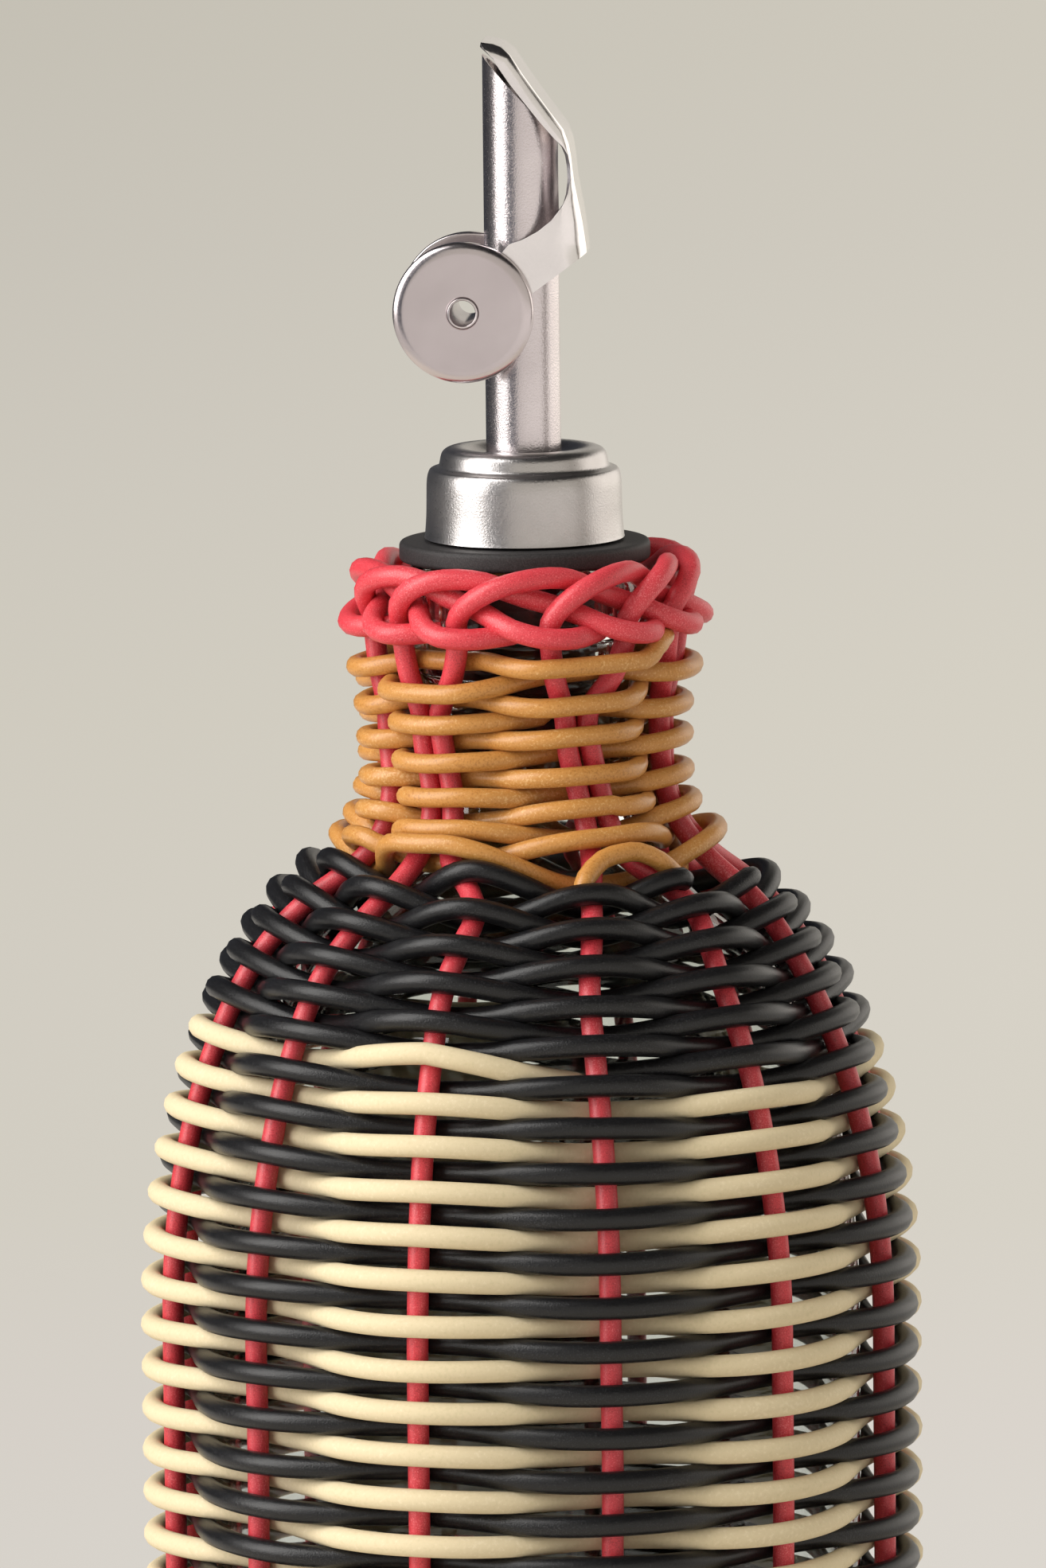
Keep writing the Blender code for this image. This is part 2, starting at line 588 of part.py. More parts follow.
def make_glass_bottle(material):
    floor_z = GLASS_BOTTOM_Z + GLASS_FLOOR_THICKNESS
    inner_radius = GLASS_BODY_RADIUS - GLASS_WALL
    inner_height = GLASS_SHOULDER_HEIGHT - GLASS_WALL
    bead_z = GLASS_TOP_Z - GLASS_BEAD_HEIGHT
    outside = [
        (0, GLASS_BOTTOM_Z),
        (GLASS_BODY_RADIUS - GLASS_HEEL_RADIUS, GLASS_BOTTOM_Z),
        (GLASS_BODY_RADIUS, GLASS_BOTTOM_Z + GLASS_HEEL_RADIUS),
    ]
    outside += shoulder_line(GLASS_BODY_RADIUS, GLASS_SHOULDER_HEIGHT, GLASS_NECK_RADIUS, GLASS_NECK_BEND)
    outside += [
        (GLASS_NECK_RADIUS, bead_z - GLASS_BEAD_EDGE),
        (GLASS_BEAD_RADIUS, bead_z + GLASS_BEAD_EDGE),
        (GLASS_BEAD_RADIUS, GLASS_TOP_Z - GLASS_BEAD_EDGE),
        (GLASS_BEAD_RADIUS - GLASS_BEAD_EDGE, GLASS_TOP_Z),
    ]
    inside = [
        (0, floor_z),
        (inner_radius - GLASS_INNER_HEEL_RADIUS, floor_z),
        (inner_radius, floor_z + GLASS_INNER_HEEL_RADIUS),
    ]
    inside += shoulder_line(inner_radius, inner_height, NECK_BORE_RADIUS, GLASS_NECK_BEND)
    inside.append((NECK_BORE_RADIUS, GLASS_TOP_Z))
    turned("glass_bottle", outside + inside[::-1], material, closed=False)


def make_stopper(material, pourer):
    """A rubber plug with ribs that grip the neck, a flange on the lip and a boss inside the cap."""
    bore = TUBE_RADIUS + SEAT_GAP
    flange_top = FLANGE_Z + FLANGE_THICKNESS
    boss_radius = CAP_STEP_RADIUS - CAP_WALL - SEAT_GAP
    boss_top = CAP_TOP_Z - BOSS_HEADROOM
    profile = [(bore, PLUG_FOOT_Z), (PLUG_CORE_RADIUS, PLUG_FOOT_Z)]
    for rib in reversed(range(RIB_COUNT)):
        top = FLANGE_Z - FIRST_RIB_DROP - RIB_SPACING * rib
        profile += [
            (PLUG_CORE_RADIUS, top - RIB_HEIGHT),
            (RIB_RADIUS, top),
            (PLUG_CORE_RADIUS, top),
        ]
    profile += [
        (PLUG_CORE_RADIUS, FLANGE_Z),
        (FLANGE_RADIUS - FLANGE_EDGE, FLANGE_Z),
        (FLANGE_RADIUS, FLANGE_Z + FLANGE_EDGE),
        (FLANGE_RADIUS, flange_top - FLANGE_EDGE),
        (FLANGE_RADIUS - FLANGE_EDGE, flange_top),
        (boss_radius, flange_top),
        (boss_radius, boss_top),
        (bore, boss_top),
    ]
    carry(turned("rubber_stopper", profile, material), pourer)


def make_cap(material, pourer):
    """A pressed shell: a wide lower step, a rounded groove and a narrower domed top."""
    bore = TUBE_RADIUS + SEAT_GAP
    outside = [
        (CAP_RADIUS + CAP_FOOT_FLARE, CAP_FOOT_Z),
        (CAP_RADIUS, CAP_FOOT_Z + CAP_ROUNDING),
        (CAP_RADIUS, CAP_STEP_Z - CAP_ROUNDING),
        (CAP_STEP_RADIUS + CAP_STEP_IN / 2, CAP_STEP_Z - CAP_FOOT_FLARE),
        (CAP_STEP_RADIUS, CAP_STEP_Z),
        (CAP_STEP_RADIUS, CAP_TOP_Z - CAP_ROUNDING),
        (CAP_STEP_RADIUS - CAP_ROUNDING, CAP_TOP_Z),
        (bore, CAP_TOP_Z),
    ]
    inside = [
        (bore, CAP_TOP_Z - CAP_WALL),
        (CAP_STEP_RADIUS - CAP_ROUNDING, CAP_TOP_Z - CAP_WALL),
        (CAP_STEP_RADIUS - CAP_WALL, CAP_TOP_Z - CAP_ROUNDING - CAP_WALL / 2),
        (CAP_STEP_RADIUS - CAP_WALL, CAP_STEP_Z - CAP_WALL),
        (CAP_RADIUS - CAP_WALL, CAP_STEP_Z - CAP_ROUNDING - CAP_WALL / 2),
        (CAP_RADIUS - CAP_WALL, CAP_FOOT_Z),
    ]
    carry(turned("pourer_cap", outside + inside, material), pourer)


def make_spout(steel, pourer, guide):
    """The spout tube and the thin air tube along the back of its bore."""
    top = TUBE_TIP_Z + CUT_OVERRUN
    wall = [(TUBE_RADIUS, PLUG_FOOT_Z), (TUBE_RADIUS, top), (TUBE_BORE, top), (TUBE_BORE, PLUG_FOOT_Z)]
    tube = turned("spout_tube", wall, steel)
    side = TUBE_RADIUS + CUT_OVERRUN
    overrun_fall = CUT_OVERRUN * math.tan(MOUTH_SLANT)
    above = top + CUT_OVERRUN + overrun_fall
    wedge = prism("mouth_cutter", [
        (-side, TUBE_TIP_Z + overrun_fall),
        (side, TUBE_TIP_Z - MOUTH_FALL - overrun_fall),
        (side, above),
        (-side, above),
    ], side, guide)
    cut(tube, wedge)
    hole = turned("tube_pin_hole_cutter", rod_profile(PIN_HOLE_RADIUS, side), guide, SMALL_SPIN_STEPS,
                  closed=False)
    lay_across(hole, 0, 0, PIVOT_Z)
    cut(tube, hole)
    carry(tube, pourer)
    air_top = TUBE_TIP_Z - MOUTH_FALL - AIR_TUBE_DROP
    profile = [
        (AIR_TUBE_RADIUS, PLUG_FOOT_Z),
        (AIR_TUBE_RADIUS, air_top),
        (AIR_TUBE_BORE, air_top),
        (AIR_TUBE_BORE, PLUG_FOOT_Z),
    ]
    air = turned("air_tube", profile, steel, SMALL_SPIN_STEPS)
    air.data.transform(Matrix.Translation((TUBE_BORE - SEAT_GAP - AIR_TUBE_RADIUS, 0, 0)))
    carry(air, pourer)


def rod_profile(radius, half_length):
    """The profile of a plain rod about its own middle."""
    return [(0, -half_length), (radius, -half_length), (radius, half_length), (0, half_length)]


def make_pins(steel, pourer):
    """A pin on each side, from inside the tube's wall to the outside of the flap's cheek."""
    half_length = (CHEEK_OUTSIDE - TUBE_BORE) / 2
    for name, side in (("pivot_pin_near", -1), ("pivot_pin_far", 1)):
        pin = turned(name, rod_profile(PIN_RADIUS, half_length), steel, SMALL_SPIN_STEPS, closed=False)
        lay_across(pin, 0, side * (TUBE_BORE + half_length), PIVOT_Z)
        carry(pin, pourer)


def flap_points(shares, height):
    return [(TUBE_RADIUS * across, height + TUBE_RADIUS * up) for across, up in shares]


def arm_eye_points():
    """The round end of the arms, from below the rivet round to above it."""
    points = []
    for step in range(ARM_EYE_STEPS + 1):
        turn = blend(ARM_EYE_START, ARM_EYE_END, step / ARM_EYE_STEPS)
        across, up = ARM_EYE_RADIUS * math.cos(turn), ARM_EYE_RADIUS * math.sin(turn)
        points.append((RIVET_X + across, RIVET_Z + up))
    return points


def inset_line(points, depth):
    """Move a line of (x, z) points to its left-hand side by a depth."""
    moved = []
    for index, (x, z) in enumerate(points):
        before = Vector(points[max(index - 1, 0)])
        after = Vector(points[min(index + 1, len(points) - 1)])
        along = (after - before).normalized()
        moved.append((x - abs(along.y) * depth, z - along.x * depth))
    return moved


def make_flap(steel, lever, guide):
    """A folded sheet: two cheeks beside the tube, joined round its back and over its slanted mouth."""
    back = flap_points(FLAP_ROOF_SHARES, TUBE_TIP_Z) + flap_points(FLAP_BACK_SHARES, PIVOT_Z)
    front = flap_points(FLAP_FRONT_SHARES, PIVOT_Z) + flap_points(FLAP_LIP_SHARES, TUBE_TIP_Z)
    outline = back + flap_points(FLAP_UNDER_SHARES, PIVOT_Z) + arm_eye_points() + front
    flap = prism("flap_lever", outline, CHEEK_OUTSIDE, steel)
    rounding = flap.modifiers.new("rounding", "BEVEL")
    rounding.width = SHEET_ROUNDING
    rounding.segments = 1
    rounding.limit_method = "ANGLE"
    rounding.angle_limit = math.radians(60)
    inner_back = inset_line(back, SHEET)
    left = RIVET_X - WEIGHT_RADIUS
    low = PIVOT_Z - WEIGHT_RADIUS
    high = back[0][1] + CUT_OVERRUN
    hollow = [(inner_back[0][0] - CUT_OVERRUN / 2, high)]
    hollow += inner_back
    hollow += [(inner_back[-1][0], low), (left, low), (left, high)]
    cutter = prism("flap_inside_cutter", hollow, CHEEK_OUTSIDE - SHEET, guide)
    cut(flap, cutter)
    half_length = CHEEK_OUTSIDE + CUT_OVERRUN
    pin_hole = turned("flap_pin_hole_cutter", rod_profile(PIN_HOLE_RADIUS, half_length), guide,
                      SMALL_SPIN_STEPS, closed=False)
    lay_across(pin_hole, 0, 0, PIVOT_Z)
    cut(flap, pin_hole)
    rivet_hole = turned("flap_rivet_hole_cutter", rod_profile(RIVET_RADIUS + SEAT_GAP, half_length), guide,
                        SMALL_SPIN_STEPS, closed=False)
    lay_across(rivet_hole, RIVET_X, 0, RIVET_Z)
    cut(flap, rivet_hole)
    carry(flap, lever)


def make_weights(steel, lever):
    """Two round discs outside the cheeks, and the hollow rivet that holds them together."""
    hole = RIVET_RADIUS + SEAT_GAP
    half = WEIGHT_THICKNESS / 2
    profile = [
        (hole, -half),
        (WEIGHT_RADIUS - WEIGHT_CHAMFER, -half),
        (WEIGHT_RADIUS, -half + WEIGHT_CHAMFER),
        (WEIGHT_RADIUS, half - WEIGHT_CHAMFER),
        (WEIGHT_RADIUS - WEIGHT_CHAMFER, half),
        (hole, half),
    ]
    middle = CHEEK_OUTSIDE + SEAT_GAP + half
    for name, side in (("weight_disc_near", -1), ("weight_disc_far", 1)):
        disc = turned(name, profile, steel)
        lay_across(disc, RIVET_X, side * middle, RIVET_Z)
        carry(disc, lever)
    head_inside = middle + half + SEAT_GAP
    head_outside = head_inside + RIVET_HEAD_THICKNESS
    profile = [
        (RIVET_BORE, -head_outside),
        (RIVET_HEAD_RADIUS, -head_outside),
        (RIVET_HEAD_RADIUS, -head_inside),
        (RIVET_RADIUS, -head_inside),
        (RIVET_RADIUS, head_inside),
        (RIVET_HEAD_RADIUS, head_inside),
        (RIVET_HEAD_RADIUS, head_outside),
        (RIVET_BORE, head_outside),
    ]
    rivet = turned("hollow_rivet", profile, steel, SMALL_SPIN_STEPS)
    lay_across(rivet, RIVET_X, 0, RIVET_Z)
    carry(rivet, lever)


def add_carrier(name, z):
    """An empty on a joint's axis, which carries the pieces that move together."""
    empty = bpy.data.objects.new(name, None)
    empty.location = (0, 0, z)
    bpy.context.scene.collection.objects.link(empty)
    return empty


def carry(obj, empty):
    """Hang a piece on a carrier without moving it."""
    obj.data.transform(Matrix.Translation(-empty.location))
    obj.parent = empty


def main():
    for obj in list(bpy.data.objects):
        bpy.data.objects.remove(obj, do_unlink=True)
    red = finish("red_cord", (0.66, 0.055, 0.07), 0.55)
    black = finish("black_cord", (0.024, 0.024, 0.026), 0.5)
    cream = finish("cream_cord", (0.77, 0.65, 0.41), 0.45)
    tan = finish("tan_cord", (0.53, 0.27, 0.065), 0.45)
    glass = finish("clear_glass", (0.92, 0.95, 0.93), 0.03, transmission=1.0)
    rubber = finish("black_rubber", (0.04, 0.038, 0.04), 0.65)
    steel = finish("satin_steel", (0.62, 0.6, 0.58), 0.28, metallic=1.0)
    guide = finish("guide", (0.5, 0.5, 0.5), 1.0)

    make_glass_bottle(glass)
    make_foot_ring(black)
    make_stakes(red)
    make_base_weavers(black)
    make_body_weavers(black, cream)
    make_neck_weaver(tan)

    pourer = add_carrier("pourer_lift", GLASS_TOP_Z)
    lever = add_carrier("lid_pivot", PIVOT_Z)
    make_stopper(rubber, pourer)
    make_cap(steel, pourer)
    make_spout(steel, pourer, guide)
    make_pins(steel, pourer)
    make_flap(steel, lever, guide)
    make_weights(steel, lever)


main()
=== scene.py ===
# %% [markdown]
# # A woven oil cruet, built piece by piece
#
# The object is a clear glass bottle in a cover that is woven from round plastic cords. A rubber stopper
# closes it, and a steel spout stands in the stopper. A flap over the spout's mouth is held shut by two
# round weights, and swings open by itself when the bottle is tipped.
#
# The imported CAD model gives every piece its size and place. This file gives the pieces their finish,
# and draws again those whose real form is smoother or finer than the CAD one. Blender works in metres,
# so MM turns a real size in millimetres into its own unit.

# %% Load the frame
import math

import bmesh
import bpy
from mathutils import Matrix, Vector, noise


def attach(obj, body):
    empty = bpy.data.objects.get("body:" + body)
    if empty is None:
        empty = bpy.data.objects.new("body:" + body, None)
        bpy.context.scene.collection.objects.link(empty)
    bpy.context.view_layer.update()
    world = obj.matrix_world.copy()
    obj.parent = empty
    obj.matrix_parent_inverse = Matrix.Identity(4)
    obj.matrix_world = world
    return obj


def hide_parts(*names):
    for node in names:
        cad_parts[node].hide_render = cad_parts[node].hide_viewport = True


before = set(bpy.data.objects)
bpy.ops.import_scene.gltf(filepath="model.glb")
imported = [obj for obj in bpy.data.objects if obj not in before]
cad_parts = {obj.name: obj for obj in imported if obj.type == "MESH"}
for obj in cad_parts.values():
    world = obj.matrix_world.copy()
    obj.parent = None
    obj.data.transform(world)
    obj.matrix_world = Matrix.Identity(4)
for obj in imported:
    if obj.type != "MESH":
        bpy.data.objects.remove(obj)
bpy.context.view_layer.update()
MM = 0.001

# %% [markdown]
# ## The camera
#
# The photograph was taken from a good distance with a long lens, so the bottle hardly narrows towards
# its foot. A camera can be placed by typing a position and turning it by eye, but it is easier to keep
# true when it is worked out: an aim point, a direction to look from, and a distance. The lens then
# follows from how much of the object the picture's height takes in.

# %% Camera
AIM = Vector((-0.45 * MM, 0, 174.0 * MM))
CAMERA_AZIMUTH = math.radians(4.0)
CAMERA_ELEVATION = math.radians(8.0)
CAMERA_ROLL = math.radians(-0.6)
CAMERA_DISTANCE = 1.5
VIEW_HEIGHT = 167.7 * MM
SENSOR = 36.0
NEAREST_SEEN = 0.05
FARTHEST_SEEN = 50.0

camera_data = bpy.data.cameras.new("camera")
camera_data.sensor_width = SENSOR
camera_data.lens = SENSOR * CAMERA_DISTANCE / VIEW_HEIGHT
camera_data.clip_start = NEAREST_SEEN
camera_data.clip_end = FARTHEST_SEEN
camera = bpy.data.objects.new("camera", camera_data)
bpy.context.scene.collection.objects.link(camera)
bpy.context.scene.camera = camera
from_aim = Vector((
    math.sin(CAMERA_AZIMUTH) * math.cos(CAMERA_ELEVATION),
    -math.cos(CAMERA_AZIMUTH) * math.cos(CAMERA_ELEVATION),
    math.sin(CAMERA_ELEVATION),
))
look = (-from_aim).to_track_quat("-Z", "Y").to_matrix().to_4x4()
roll = Matrix.Rotation(CAMERA_ROLL, 4, "Z")
camera.matrix_world = Matrix.Translation(AIM + from_aim * CAMERA_DISTANCE) @ look @ roll
print("lens:", round(camera_data.lens), "mm")

# %% [markdown]
# ## Small helpers for materials
#
# A finish is a small network of nodes. Each node could be added and wired by hand in the shader editor.
# Written down, the wiring can be read and repeated, so one function adds a node with its settings and
# links. Hex colours are written as a painter reads them off a screen, in sRGB, while the renderer works
# in linear light, so another function turns the one into the other.

# %% Material helpers
def linear(hex_colour):
    """The linear RGBA value of an sRGB hex colour."""
    parts = [int(hex_colour[index:index + 2], 16) / 255 for index in (1, 3, 5)]
    return (*[part / 12.92 if part <= 0.04045 else ((part + 0.055) / 1.055) ** 2.4 for part in parts], 1.0)


def fill(tree, node, *values, **named):
    """Set or link a node's inputs, given in their order or by name, with _ for a space.

    A node that is given stands for its first output, and a text is a hex colour.
    """
    sockets = [*node.inputs[:len(values)], *[node.inputs[name.replace("_", " ")] for name in named]]
    for socket, value in zip(sockets, [*values, *named.values()]):
        if isinstance(value, bpy.types.Node):
            value = value.outputs[0]
        if isinstance(value, bpy.types.NodeSocket):
            tree.links.new(value, socket)
        else:
            socket.default_value = linear(value) if isinstance(value, str) else value


def add_node(tree, kind, *values, settings=None, stops=(), **named):
    """Add a node with its settings and links. Stops are a ramp's pairs of position and hex colour."""
    node = tree.nodes.new(kind)
    for name, value in (settings or {}).items():
        setattr(node, name, value)
    if stops:
        ramp = node.color_ramp
        while len(ramp.elements) < len(stops):
            ramp.elements.new(0.5)
        for element, (position, colour) in zip(ramp.elements, stops):
            element.position = position
            element.color = linear(colour)
    fill(tree, node, *values, **named)
    return node


def new_finish(name, **named):
    """A material with its shader, some of whose inputs are set, and the piece's coordinates in metres."""
    material = bpy.data.materials.new(name)
    material.use_nodes = True
    tree = material.node_tree
    shader = tree.nodes["Principled BSDF"]
    fill(tree, shader, **named)
    place = add_node(tree, "ShaderNodeTexCoord").outputs["Object"]
    return material, tree, shader, place


# %% [markdown]
# ## The cords' plastic
#
# The cords are extruded from soft plastic, like the round cord of garden chairs. The die leaves a fine
# frosted skin: from close by, tiny pale grains lie in the colour, and the gloss is broken up in the same
# grain. A plain colour would look like wax. So a fine noise drives the colour, the roughness and a very
# shallow bump, and a second, wider noise lets the colour drift a little along each cord.

# %% Cord finishes
DRIFT_SIZE = 9 * MM
GRAIN_SHARE = 0.75
GRAIN_DEPTH = 0.03 * MM
GLOSS_SPREAD = 0.12


def cord_finish(name, dark, plain, pale, roughness, grain, bump, shine=0.5):
    """Extruded plastic with a frosted skin. Grain is the size of its speckles in metres."""
    material, tree, shader, place = new_finish(name, Specular_IOR_Level=shine)
    grains = add_node(tree, "ShaderNodeTexNoise", Vector=place, Scale=1 / grain, Detail=2.0)
    drift = add_node(tree, "ShaderNodeTexNoise", Vector=place, Scale=1 / DRIFT_SIZE, Detail=1.0)
    drift = add_node(tree, "ShaderNodeMath", drift, 1 - GRAIN_SHARE, settings={"operation": "MULTIPLY"})
    both = add_node(tree, "ShaderNodeMath", grains, GRAIN_SHARE, drift,
                    settings={"operation": "MULTIPLY_ADD"})
    colour = add_node(tree, "ShaderNodeValToRGB", both,
                      stops=((0.34, dark), (0.46, plain), (0.56, plain), (0.68, pale)))
    gloss = add_node(tree, "ShaderNodeMapRange", Value=grains,
                     To_Min=roughness - GLOSS_SPREAD, To_Max=roughness + GLOSS_SPREAD)
    relief = add_node(tree, "ShaderNodeBump", Height=grains, Strength=bump, Distance=GRAIN_DEPTH)
    fill(tree, shader, Base_Color=colour, Roughness=gloss, Normal=relief)
    return material


# The real grains are too fine to show from this distance, so they are drawn coarser here.
# Red and black cord is frosted: pale specks lie on its highlights. Cream and tan cord is smoother, and
# its highlights are soft, wide and plain.
red_plastic = cord_finish("frosted_red_plastic_cord", "#B52B37", "#D63C48", "#E8727A",
                          roughness=0.42, grain=0.15 * MM, bump=0.9, shine=0.6)
black_plastic = cord_finish("frosted_black_plastic_cord", "#0E0E10", "#161618", "#2E2E31",
                            roughness=0.35, grain=0.16 * MM, bump=1.0, shine=0.42)
cream_plastic = cord_finish("smooth_cream_plastic_cord", "#D3C5A2", "#D9CAA9", "#E0D2B4",
                            roughness=0.58, grain=0.40 * MM, bump=0.06, shine=0.12)
tan_plastic = cord_finish("smooth_tan_plastic_cord", "#B07738", "#C48B48", "#D6AA70",
                          roughness=0.36, grain=0.24 * MM, bump=0.3)
print("cord finishes:", red_plastic.name, black_plastic.name, cream_plastic.name, tan_plastic.name)

# %% [markdown]
# ## The pourer's steel
#
# Tube, cap, flap and weights are stainless steel, each worked in its own way. Tumbling with small stones
# leaves a skin of tiny dents, which breaks a reflection up at its edges. A blurred mirror would do from
# afar, but the skin is what tells steel from grey paint close by. So one noise, as fine as the dents,
# drives the roughness and the bump, and a wide, faint one lets the tone cloud a little.

# %% Steel finishes
DENT_SIZE = 0.20 * MM
CLOUD_SIZE = 6 * MM
SMOOTHER = 0.08
ROUGHER = 0.10


def satin_steel(name, dull, bright, roughness, depth):
    """Stainless steel. Depth is how deep the tiny dents in its skin are, in metres."""
    material, tree, shader, place = new_finish(name, Metallic=1.0)
    dents = add_node(tree, "ShaderNodeTexNoise", Vector=place, Scale=1 / DENT_SIZE, Detail=3.0)
    cloud = add_node(tree, "ShaderNodeTexNoise", Vector=place, Scale=1 / CLOUD_SIZE, Detail=2.0)
    colour = add_node(tree, "ShaderNodeValToRGB", cloud, stops=((0.3, dull), (0.7, bright)))
    gloss = add_node(tree, "ShaderNodeMapRange", Value=dents,
                     To_Min=roughness - SMOOTHER, To_Max=roughness + ROUGHER)
    relief = add_node(tree, "ShaderNodeBump", Height=dents, Strength=1.0, Distance=depth)
    fill(tree, shader, Base_Color=colour, Roughness=gloss, Normal=relief)
    return material


# The faint pink in the steel colours is a painted reflection of lilac surroundings. The rest of each colour
# is the steel's own pale tone.
# The dents are drawn coarser than the real ones, so that they show.
# Tumbled tube: a sparkling streak between a dark and a pale side.
tumbled_steel = satin_steel("tumbled_stainless_steel", "#D3CBCD", "#DED6D8",
                            roughness=0.23, depth=0.024 * MM)
# Pressed cap: the same skin, stretched duller, with soft wide reflections.
pressed_steel = satin_steel("pressed_stainless_steel_cap", "#BEBAB9", "#CCC8C7",
                            roughness=0.30, depth=0.024 * MM)
# Rolled sheet: pale and smooth, with hardly any grain.
sheet_steel = satin_steel("bright_stainless_steel_sheet", "#F4F0F0", "#FAF6F6",
                          roughness=0.20, depth=0.0016 * MM)
# Sheared edge of that sheet: rough, and painted dark as painted shade, so the flap's outline reads as a thin
# dark line.
shaded_cut_edge_steel = satin_steel("cut_edge_of_steel_sheet_with_painted_shade", "#6E6B6E", "#8A878A",
                        roughness=0.38, depth=0.030 * MM)
# Turned discs: even and smooth, with one calm tone over the whole face.
turned_steel = satin_steel("fine_turned_stainless_steel", "#CCC3C5", "#D6CDCF",
                           roughness=0.22, depth=0.0025 * MM)
print("tumbled dents:", round(DENT_SIZE / MM, 2), "mm wide")

# %% [markdown]
# ## Rubber and glass
#
# The stopper is moulded rubber with a dull, finely grained skin, which looks dark grey where light
# grazes it. The bottle is plain pressed glass with a faint green cast. Glass needs no pattern: its look
# comes from its two surfaces and from what stands behind them, so its wall is modelled and its shader
# stays plain.

# %% Rubber and glass
RUBBER_GRAIN = 0.18 * MM
GLASS_IOR = 1.5

# The grain of the mould is drawn a little coarser than the real one, so that it shows.
moulded_rubber, tree, shader, place = new_finish("moulded_black_rubber", Roughness=0.62)
grain = add_node(tree, "ShaderNodeTexNoise", Vector=place, Scale=1 / RUBBER_GRAIN, Detail=3.0)
colour = add_node(tree, "ShaderNodeValToRGB", grain, stops=((0.35, "#1F1D1E"), (0.7, "#363334")))
skin = add_node(tree, "ShaderNodeBump", Height=grain, Strength=0.6, Distance=GRAIN_DEPTH)
fill(tree, shader, Base_Color=colour, Normal=skin)

clear_glass, *_ = new_finish("pressed_clear_glass", Base_Color="#F4F8F6", Transmission_Weight=1.0,
                             Roughness=0.02, IOR=GLASS_IOR)
print("rubber and glass:", moulded_rubber.name, clear_glass.name)

# %% [markdown]
# ## Floor and backdrop
#
# The photograph has a plain warm grey background that grows lighter towards the bottom and the right.
# A painted backdrop could give that, but a bright one throws light of its own on the object. So the
# floor near the bottle is an ordinary matt one, which takes its shadow, and further back it hands over
# to a soft gradient that only the camera and mirrored or bent light see.

# %% Only for eyes and mirrors
def looked_at(tree):
    """1 for rays from the camera, from mirrors and through glass, and 0 for light that falls on things."""
    rays = add_node(tree, "ShaderNodeLightPath")
    share = rays.outputs["Is Camera Ray"]
    for kind in ("Is Glossy Ray", "Is Transmission Ray"):
        share = add_node(tree, "ShaderNodeMath", share, rays.outputs[kind], settings={"operation": "MAXIMUM"})
    return share


def on_stage(name, shape, material):
    """Turn a bmesh into an object that stands round the cruet and isn't part of it."""
    mesh = bpy.data.meshes.new(name)
    shape.to_mesh(mesh)
    shape.free()
    mesh.materials.append(material)
    item = bpy.data.objects.new(name, mesh)
    bpy.context.scene.collection.objects.link(item)
    return item


# %% Floor
FLOOR_RADIUS = 14.0
FLOOR_NEAR = 0.26
FLOOR_FAR = 0.42
GLOW_NEAR = -1.0
GLOW_FAR = 3.1
GLOW_SIDE = 0.45
LEFT_LEVEL = 0.874
RIGHT_LEVEL = 1.126

# Matt paint: no gloss, so the shadow of the cruet is all that shows on it.
material, tree, shader, place = new_finish("pale_matt_floor", Base_Color="#DAD5CD", Roughness=0.9,
                                           Specular_IOR_Level=0.1)
spread = add_node(tree, "ShaderNodeSeparateXYZ", place)
depth = add_node(tree, "ShaderNodeMapRange", Value=spread.outputs["Y"], From_Min=GLOW_NEAR, From_Max=GLOW_FAR)
gradient = add_node(tree, "ShaderNodeValToRGB", depth, stops=(
    (0.0, "#EDE7E1"), (0.355, "#DAD5CD"), (0.381, "#D9D3CB"), (0.427, "#D6D1C6"), (0.493, "#D6D1C6"),
    (0.572, "#D5D0C4"), (0.671, "#D3CEC3"), (0.802, "#D0CBC0"), (0.947, "#CFCABE")))
level = add_node(tree, "ShaderNodeMapRange", Value=spread.outputs["X"],
                 From_Min=-GLOW_SIDE, From_Max=GLOW_SIDE, To_Min=LEFT_LEVEL, To_Max=RIGHT_LEVEL)
glow = add_node(tree, "ShaderNodeEmission", Color=gradient, Strength=level)
distance = add_node(tree, "ShaderNodeVectorMath", place, settings={"operation": "LENGTH"})
far = add_node(tree, "ShaderNodeMapRange", settings={"interpolation_type": "SMOOTHSTEP"},
               Value=distance.outputs["Value"], From_Min=FLOOR_NEAR, From_Max=FLOOR_FAR)
share = add_node(tree, "ShaderNodeMath", far, looked_at(tree), settings={"operation": "MULTIPLY"})
surface = add_node(tree, "ShaderNodeMixShader", share, shader, glow)
fill(tree, tree.nodes["Material Output"], Surface=surface)

shape = bmesh.new()
bmesh.ops.create_circle(shape, cap_ends=True, segments=96, radius=FLOOR_RADIUS)
on_stage("floor", shape, material)
print("floor:", 2 * FLOOR_RADIUS, "m across")

# %% [markdown]
# ## Light
#
# Round cords show their form by a bright side and a dark side. One small lamp would give hard shadows in
# every gap, so the room itself gives much of the light. A tall soft lamp to the left of the camera
# makes the highlights, and a weak, warm one, far to the right and behind, lifts the dark side.

# %% World and lamps
ROOM_LIGHT = 0.88
LAMP_AIM = Vector((0, 0, 0.17))

world = bpy.data.worlds.new("pale_room")
bpy.context.scene.world = world
world.use_nodes = True
tree = world.node_tree
level = add_node(tree, "ShaderNodeMapRange", Value=looked_at(tree), To_Min=ROOM_LIGHT, To_Max=1.0)
fill(tree, tree.nodes["Background"], Color="#D3CEC4", Strength=level)


